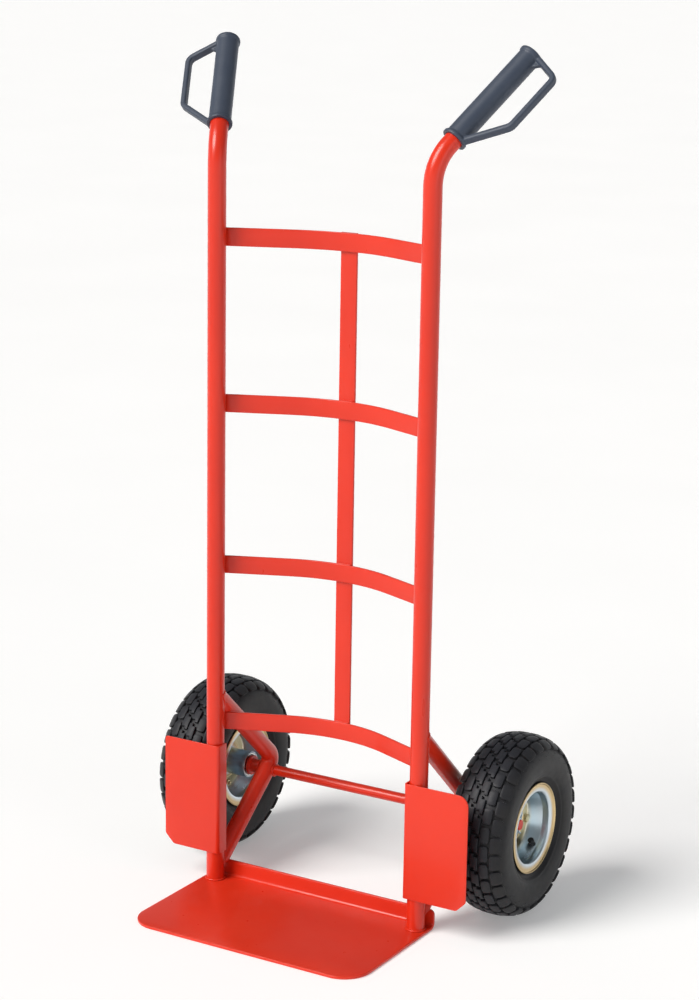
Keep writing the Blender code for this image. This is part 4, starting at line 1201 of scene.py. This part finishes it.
# %% Build the grips
GRIP_RADIUS = 15.2 * MM
COLLAR_RADIUS = 17.4 * MM
BAR_OFFSET = 57 * MM
BAR_LOW, BAR_HIGH = 50 * MM, GRIP_LENGTH - 21 * MM
BAR_WIDTH, BAR_DEPTH = 7.6 * MM, 11 * MM
BAR_ROUND = 2.2 * MM
BAR_BEND = 12 * MM
GUSSET = 5 * MM
VOXEL = 0.8 * MM


def grip_place(sign):
    along = handle_direction(sign)
    outward = (sign * X - along * (sign * X).dot(along)).normalized()
    return axes(bend_corner(sign) + along * GRIP_START, outward, along.cross(outward))


def sleeve_line():
    bore = TUBE_RADIUS + 0.1 * MM
    top, cap = GRIP_LENGTH, GRIP_LENGTH - 6 * MM
    points = [
        (bore, 0), (COLLAR_RADIUS, 0), (COLLAR_RADIUS, 4 * MM), (GRIP_RADIUS, 6 * MM),
        (GRIP_RADIUS, cap - 2 * MM), (COLLAR_RADIUS - 0.6 * MM, cap),
        (COLLAR_RADIUS - 0.6 * MM, top - 1.5 * MM), (COLLAR_RADIUS - 4 * MM, top),
        (0, top + 0.8 * MM), (0, top - 8 * MM), (bore, top - 8 * MM),
    ]
    return points + points[:1]


def gusset(bm, corners):
    """A web between the sleeve and the bar, as a plate in their common plane."""
    face = bm.faces.new([bm.verts.new((x, -GUSSET / 2, z)) for x, z in corners])
    made = bmesh.ops.extrude_face_region(bm, geom=[face])["geom"]
    bmesh.ops.translate(bm, vec=(0, GUSSET, 0), verts=verts_in(made))


def moulded(name, bm):
    """One smooth skin around everything in the bmesh."""
    rough = bpy.data.objects.new(name, mesh_of(name, bm))
    bpy.context.scene.collection.objects.link(rough)
    skin = rough.modifiers.new("skin", "REMESH")
    skin.mode = "VOXEL"
    skin.voxel_size = VOXEL
    ease = rough.modifiers.new("ease", "SMOOTH")
    ease.factor = 0.5
    ease.iterations = 5
    bpy.context.view_layer.update()
    made = bpy.data.meshes.new_from_object(rough.evaluated_get(bpy.context.evaluated_depsgraph_get()))
    bpy.data.objects.remove(rough)
    return made


for side, sign in SIDES:
    bm = bmesh.new()
    turn(bm, sleeve_line(), 72, closed=False)
    root = Vector((GRIP_RADIUS - 1.5 * MM, 0, 4.5 * MM))
    corners = [root, Vector((BAR_OFFSET, 0, BAR_LOW)), Vector((BAR_OFFSET, 0, BAR_HIGH))]
    corners.append(Vector((GRIP_RADIUS - 1.5 * MM, 0, GRIP_LENGTH - 4.5 * MM)))
    along = (corners[1] - corners[0]).normalized()
    bar = bmesh.new()
    loop = bar_section(bar, BAR_WIDTH, BAR_DEPTH, BAR_ROUND, axes(root, Y.cross(along), Y))
    sweep(bar, loop, corners, BAR_BEND, 8)
    bar_mesh = mesh_of("bar", bar)
    bm.from_mesh(bar_mesh)
    top, inside = GRIP_LENGTH - 6 * MM, GRIP_RADIUS - MM
    gusset(bm, [(inside, top), (GRIP_RADIUS + 13 * MM, top - 4 * MM), (inside, top - 14 * MM)])
    gusset(bm, [(inside, 6 * MM), (GRIP_RADIUS + 9 * MM, 13 * MM), (inside, 16 * MM)])
    skin = moulded(f"grip_{side}", bm)
    skin.transform(grip_place(sign))
    grip = add_piece(f"fine_grip_{side}", skin, "grip_plastic", "frame", f"handle_grip_{side}")
    print(grip.name, len(grip.data.polygons), "faces")

# %% [markdown]
# ## Welds
# Everything red is welded before it is painted. A weld bead is a string of small overlapping pools,
# so it is made as round wire whose thickness swells every few points. Each kind of joint gets its
# beads: rings round the uprights' feet and the axle, saddles where bracket meets upright, and
# straight runs beside the rungs, the strap and the guards.

# %% Weld beads
BEAD = 1.5 * MM
STEP = 1.0 * MM


def straight_run(start, end):
    count = max(2, round((end - start).length / STEP))
    return [start.lerp(end, index / count) for index in range(count + 1)], False


def ring_run(centre, axis, radius):
    count = round(FULL_TURN * radius / STEP / 4) * 4
    turn_to = axis.to_track_quat("Z", "Y")
    spots = [FULL_TURN * index / count for index in range(count)]
    return [centre + turn_to @ Vector((math.cos(a), math.sin(a), 0)) * radius for a in spots], True


def saddle_run(end, corner):
    """Where a tube meets the back of an upright of the same size."""
    along = (corner - end).normalized()
    up = X.cross(along)
    points = []
    for index in range(84):
        angle = FULL_TURN * index / 84
        offset = (X * math.cos(angle) + up * math.sin(angle)) * (TUBE_RADIUS + 0.3 * MM)
        back = TUBE_RADIUS * abs(math.sin(angle)) - offset.y - (end.y - UPRIGHT_Y)
        points.append(end + offset + along * back / along.y)
    return points, True


feet, saddles, rung_beads, strap_beads, guard_beads = [], [], [], [], []
for side, sign in SIDES:
    foot = ZERO + sign * UPRIGHT_X * X
    feet.append(ring_run(foot + Z * 0.8 * MM, Z, TUBE_RADIUS + 0.8 * MM))
    top, corner, low_end = ARM_PATHS[side]
    saddles.append(saddle_run(top, corner))
    points = [point for point in saddle_run(low_end, corner)[0] if point.z > UPSTAND_TOP - MM]
    saddles.append((points, False))
    for way in (1, -1):
        face = Vector((sign * UPRIGHT_X + way * (TUBE_RADIUS + 0.2 * MM), AXLE.y, AXLE.z))
        saddles.append(ring_run(face, X, AXLE_RADIUS + MM))
    gap = Vector((sign * math.sin(RUNG_LEAN), math.cos(RUNG_LEAN), 0))
    inward = Vector((-sign * math.cos(RUNG_LEAN), math.sin(RUNG_LEAN), 0))
    reach = 2 * math.sqrt(TUBE_RADIUS * BEAD)
    line = foot + gap * (TUBE_RADIUS - BEAD) + inward * reach
    for number in range(1, 5):
        low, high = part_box(f"rung_{number}")
        start, end = low.z - PLATE_TOP + MM, high.z - PLATE_TOP - MM
        rung_beads.append(straight_run(line + Z * start, line + Z * end))
    low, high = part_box(f"wheel_guard_{side}")
    guard_line = foot + Vector((sign * reach, -(TUBE_RADIUS - BEAD), 0))
    for share in (0.12, 0.42, 0.72):
        start = guard_line + Z * (low.z + share * (high.z - low.z) - PLATE_TOP)
        guard_beads.append(straight_run(start, start + Z * 26 * MM))
strap_low, strap_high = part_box("centre_strap")
for number in range(1, 5):
    low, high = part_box(f"rung_{number}")
    for edge in (low.z, high.z):
        if strap_low.z + MM < edge < strap_high.z - MM:
            start = Vector((strap_low.x + 2 * MM, strap_low.y - 0.6 * MM, edge))
            strap_beads.append(straight_run(start, start + X * (strap_high.x - strap_low.x - 4 * MM)))
for name, runs, radius in (
    ("foot_welds", feet, 1.3 * MM), ("bracket_welds", saddles, 1.3 * MM), ("rung_welds", rung_beads, BEAD),
    ("strap_welds", strap_beads, 1.1 * MM), ("guard_welds", guard_beads, BEAD),
):
    add_piece(name, wire(name, runs, radius, ripple=0.14), "red_paint", "frame")
    print(name, len(runs), "beads")

# %% [markdown]
# ## Floor, light and camera
# The truck stands on a pale floor that runs out of sight. A broad, distant light in front and to
# the left shapes the tubes, a weaker one fills from the right, and the sky, white at the horizon
# and dimmer above, does the rest. The camera stands to the right of the toe plate, a little above
# the handles, with a long lens.

# %% Floor
pale, floor_tree, floor_shader = new_material(
    "pale_floor", roughness=0.9, emission_color=(1, 1, 1, 1), emission_strength=0.25
)
floor_tone = use_group(
    floor_tree, TONE, ("First", (0.82, 0.82, 0.82, 1)), ("Second", (0.80, 0.80, 0.80, 1)), ("Scale", 1.5)
)
floor_tree.links.new(floor_tone["Color"], floor_shader.inputs["Base Color"])
bm = bmesh.new()
bmesh.ops.create_grid(bm, x_segments=1, y_segments=1, size=60)
floor_mesh = mesh_of("floor", bm, Matrix.Translation((0, 0, cad_low.z - 0.3 * MM)))
floor_mesh.materials.append(pale)
floor = bpy.data.objects.new("floor", floor_mesh)
bpy.context.scene.collection.objects.link(floor)
floor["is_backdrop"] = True

# %% Light
CENTRE = (cad_low + cad_high) / 2


def soft_light(name, place, width, power, colour):
    lamp = bpy.data.lights.new(name, "AREA")
    lamp.shape = "RECTANGLE"
    lamp.size, lamp.size_y = width
    lamp.energy = power
    lamp.color = colour
    made = bpy.data.objects.new(name, lamp)
    made.location = place
    made.rotation_euler = (Vector(place) - CENTRE).to_track_quat("Z", "Y").to_euler()
    bpy.context.scene.collection.objects.link(made)


soft_light("fill", (3.0, -1.0, 1.6), (0.8, 2.2), 6, (0.90, 0.95, 1.0))
sun = bpy.data.lights.new("key", "SUN")
sun.energy = 3.2
sun.angle = math.radians(32)
sun.color = (1.0, 0.98, 0.95)
key = bpy.data.objects.new("key", sun)
key.rotation_euler = Vector((-0.35, -0.65, 0.67)).to_track_quat("Z", "Y").to_euler()
bpy.context.scene.collection.objects.link(key)
world = bpy.data.worlds.new("studio")
world.use_nodes = True
sky = world.node_tree
sky.nodes["Background"].inputs["Color"].default_value = (0.96, 0.98, 1.0, 1)
direction = add_node(sky, "SeparateXYZ", [(0, sky.nodes.new("ShaderNodeTexCoord").outputs["Generated"])])
links = [("Value", direction.outputs["Z"]), ("From Min", 0.10), ("From Max", 0.30)]
haze = add_node(sky, "MapRange", [*links, ("To Min", 1.05), ("To Max", 0.20)])
sky.links.new(haze.outputs[0], sky.nodes["Background"].inputs["Strength"])
bpy.context.scene.world = world
bpy.context.scene.view_settings.view_transform = "Standard"
print("one broad key light, one fill and a pale sky")

# %% Camera
AZIMUTH, ELEVATION, ROLL = math.radians(30.725), math.radians(13.572), math.radians(0.915)
CAMERA_PLACE = ZERO + Vector((1.6424, -2.6811, 1.3358))
LENS = 87.08

back = Vector((
    math.sin(AZIMUTH) * math.cos(ELEVATION), -math.cos(AZIMUTH) * math.cos(ELEVATION), math.sin(ELEVATION)
))
right = Vector((math.cos(AZIMUTH), math.sin(AZIMUTH), 0))
camera_turn = Matrix((right, back.cross(right), back)).transposed() @ Matrix.Rotation(ROLL, 3, "Z")
camera_data = bpy.data.cameras.new("camera")
camera_data.sensor_width = 36
camera_data.lens = LENS
camera = bpy.data.objects.new("camera", camera_data)
camera.matrix_world = Matrix.Translation(CAMERA_PLACE) @ camera_turn.to_4x4()
bpy.context.scene.collection.objects.link(camera)
bpy.context.scene.camera = camera
print("camera", f"{(CAMERA_PLACE - CENTRE).length:.2f} m from the truck's middle")

# %% [markdown]
# ## Last checks
# The box of the fine model is set against the frame's, and the print gives how far each of its
# sides moved, in millimetres.

# %% Write the sizes and finish
new_low, new_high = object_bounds()
pairs = zip((*cad_low, *cad_high), (*new_low, *new_high))
print("moved by", [round(abs(after - before) / MM, 1) for before, after in pairs], "mm")
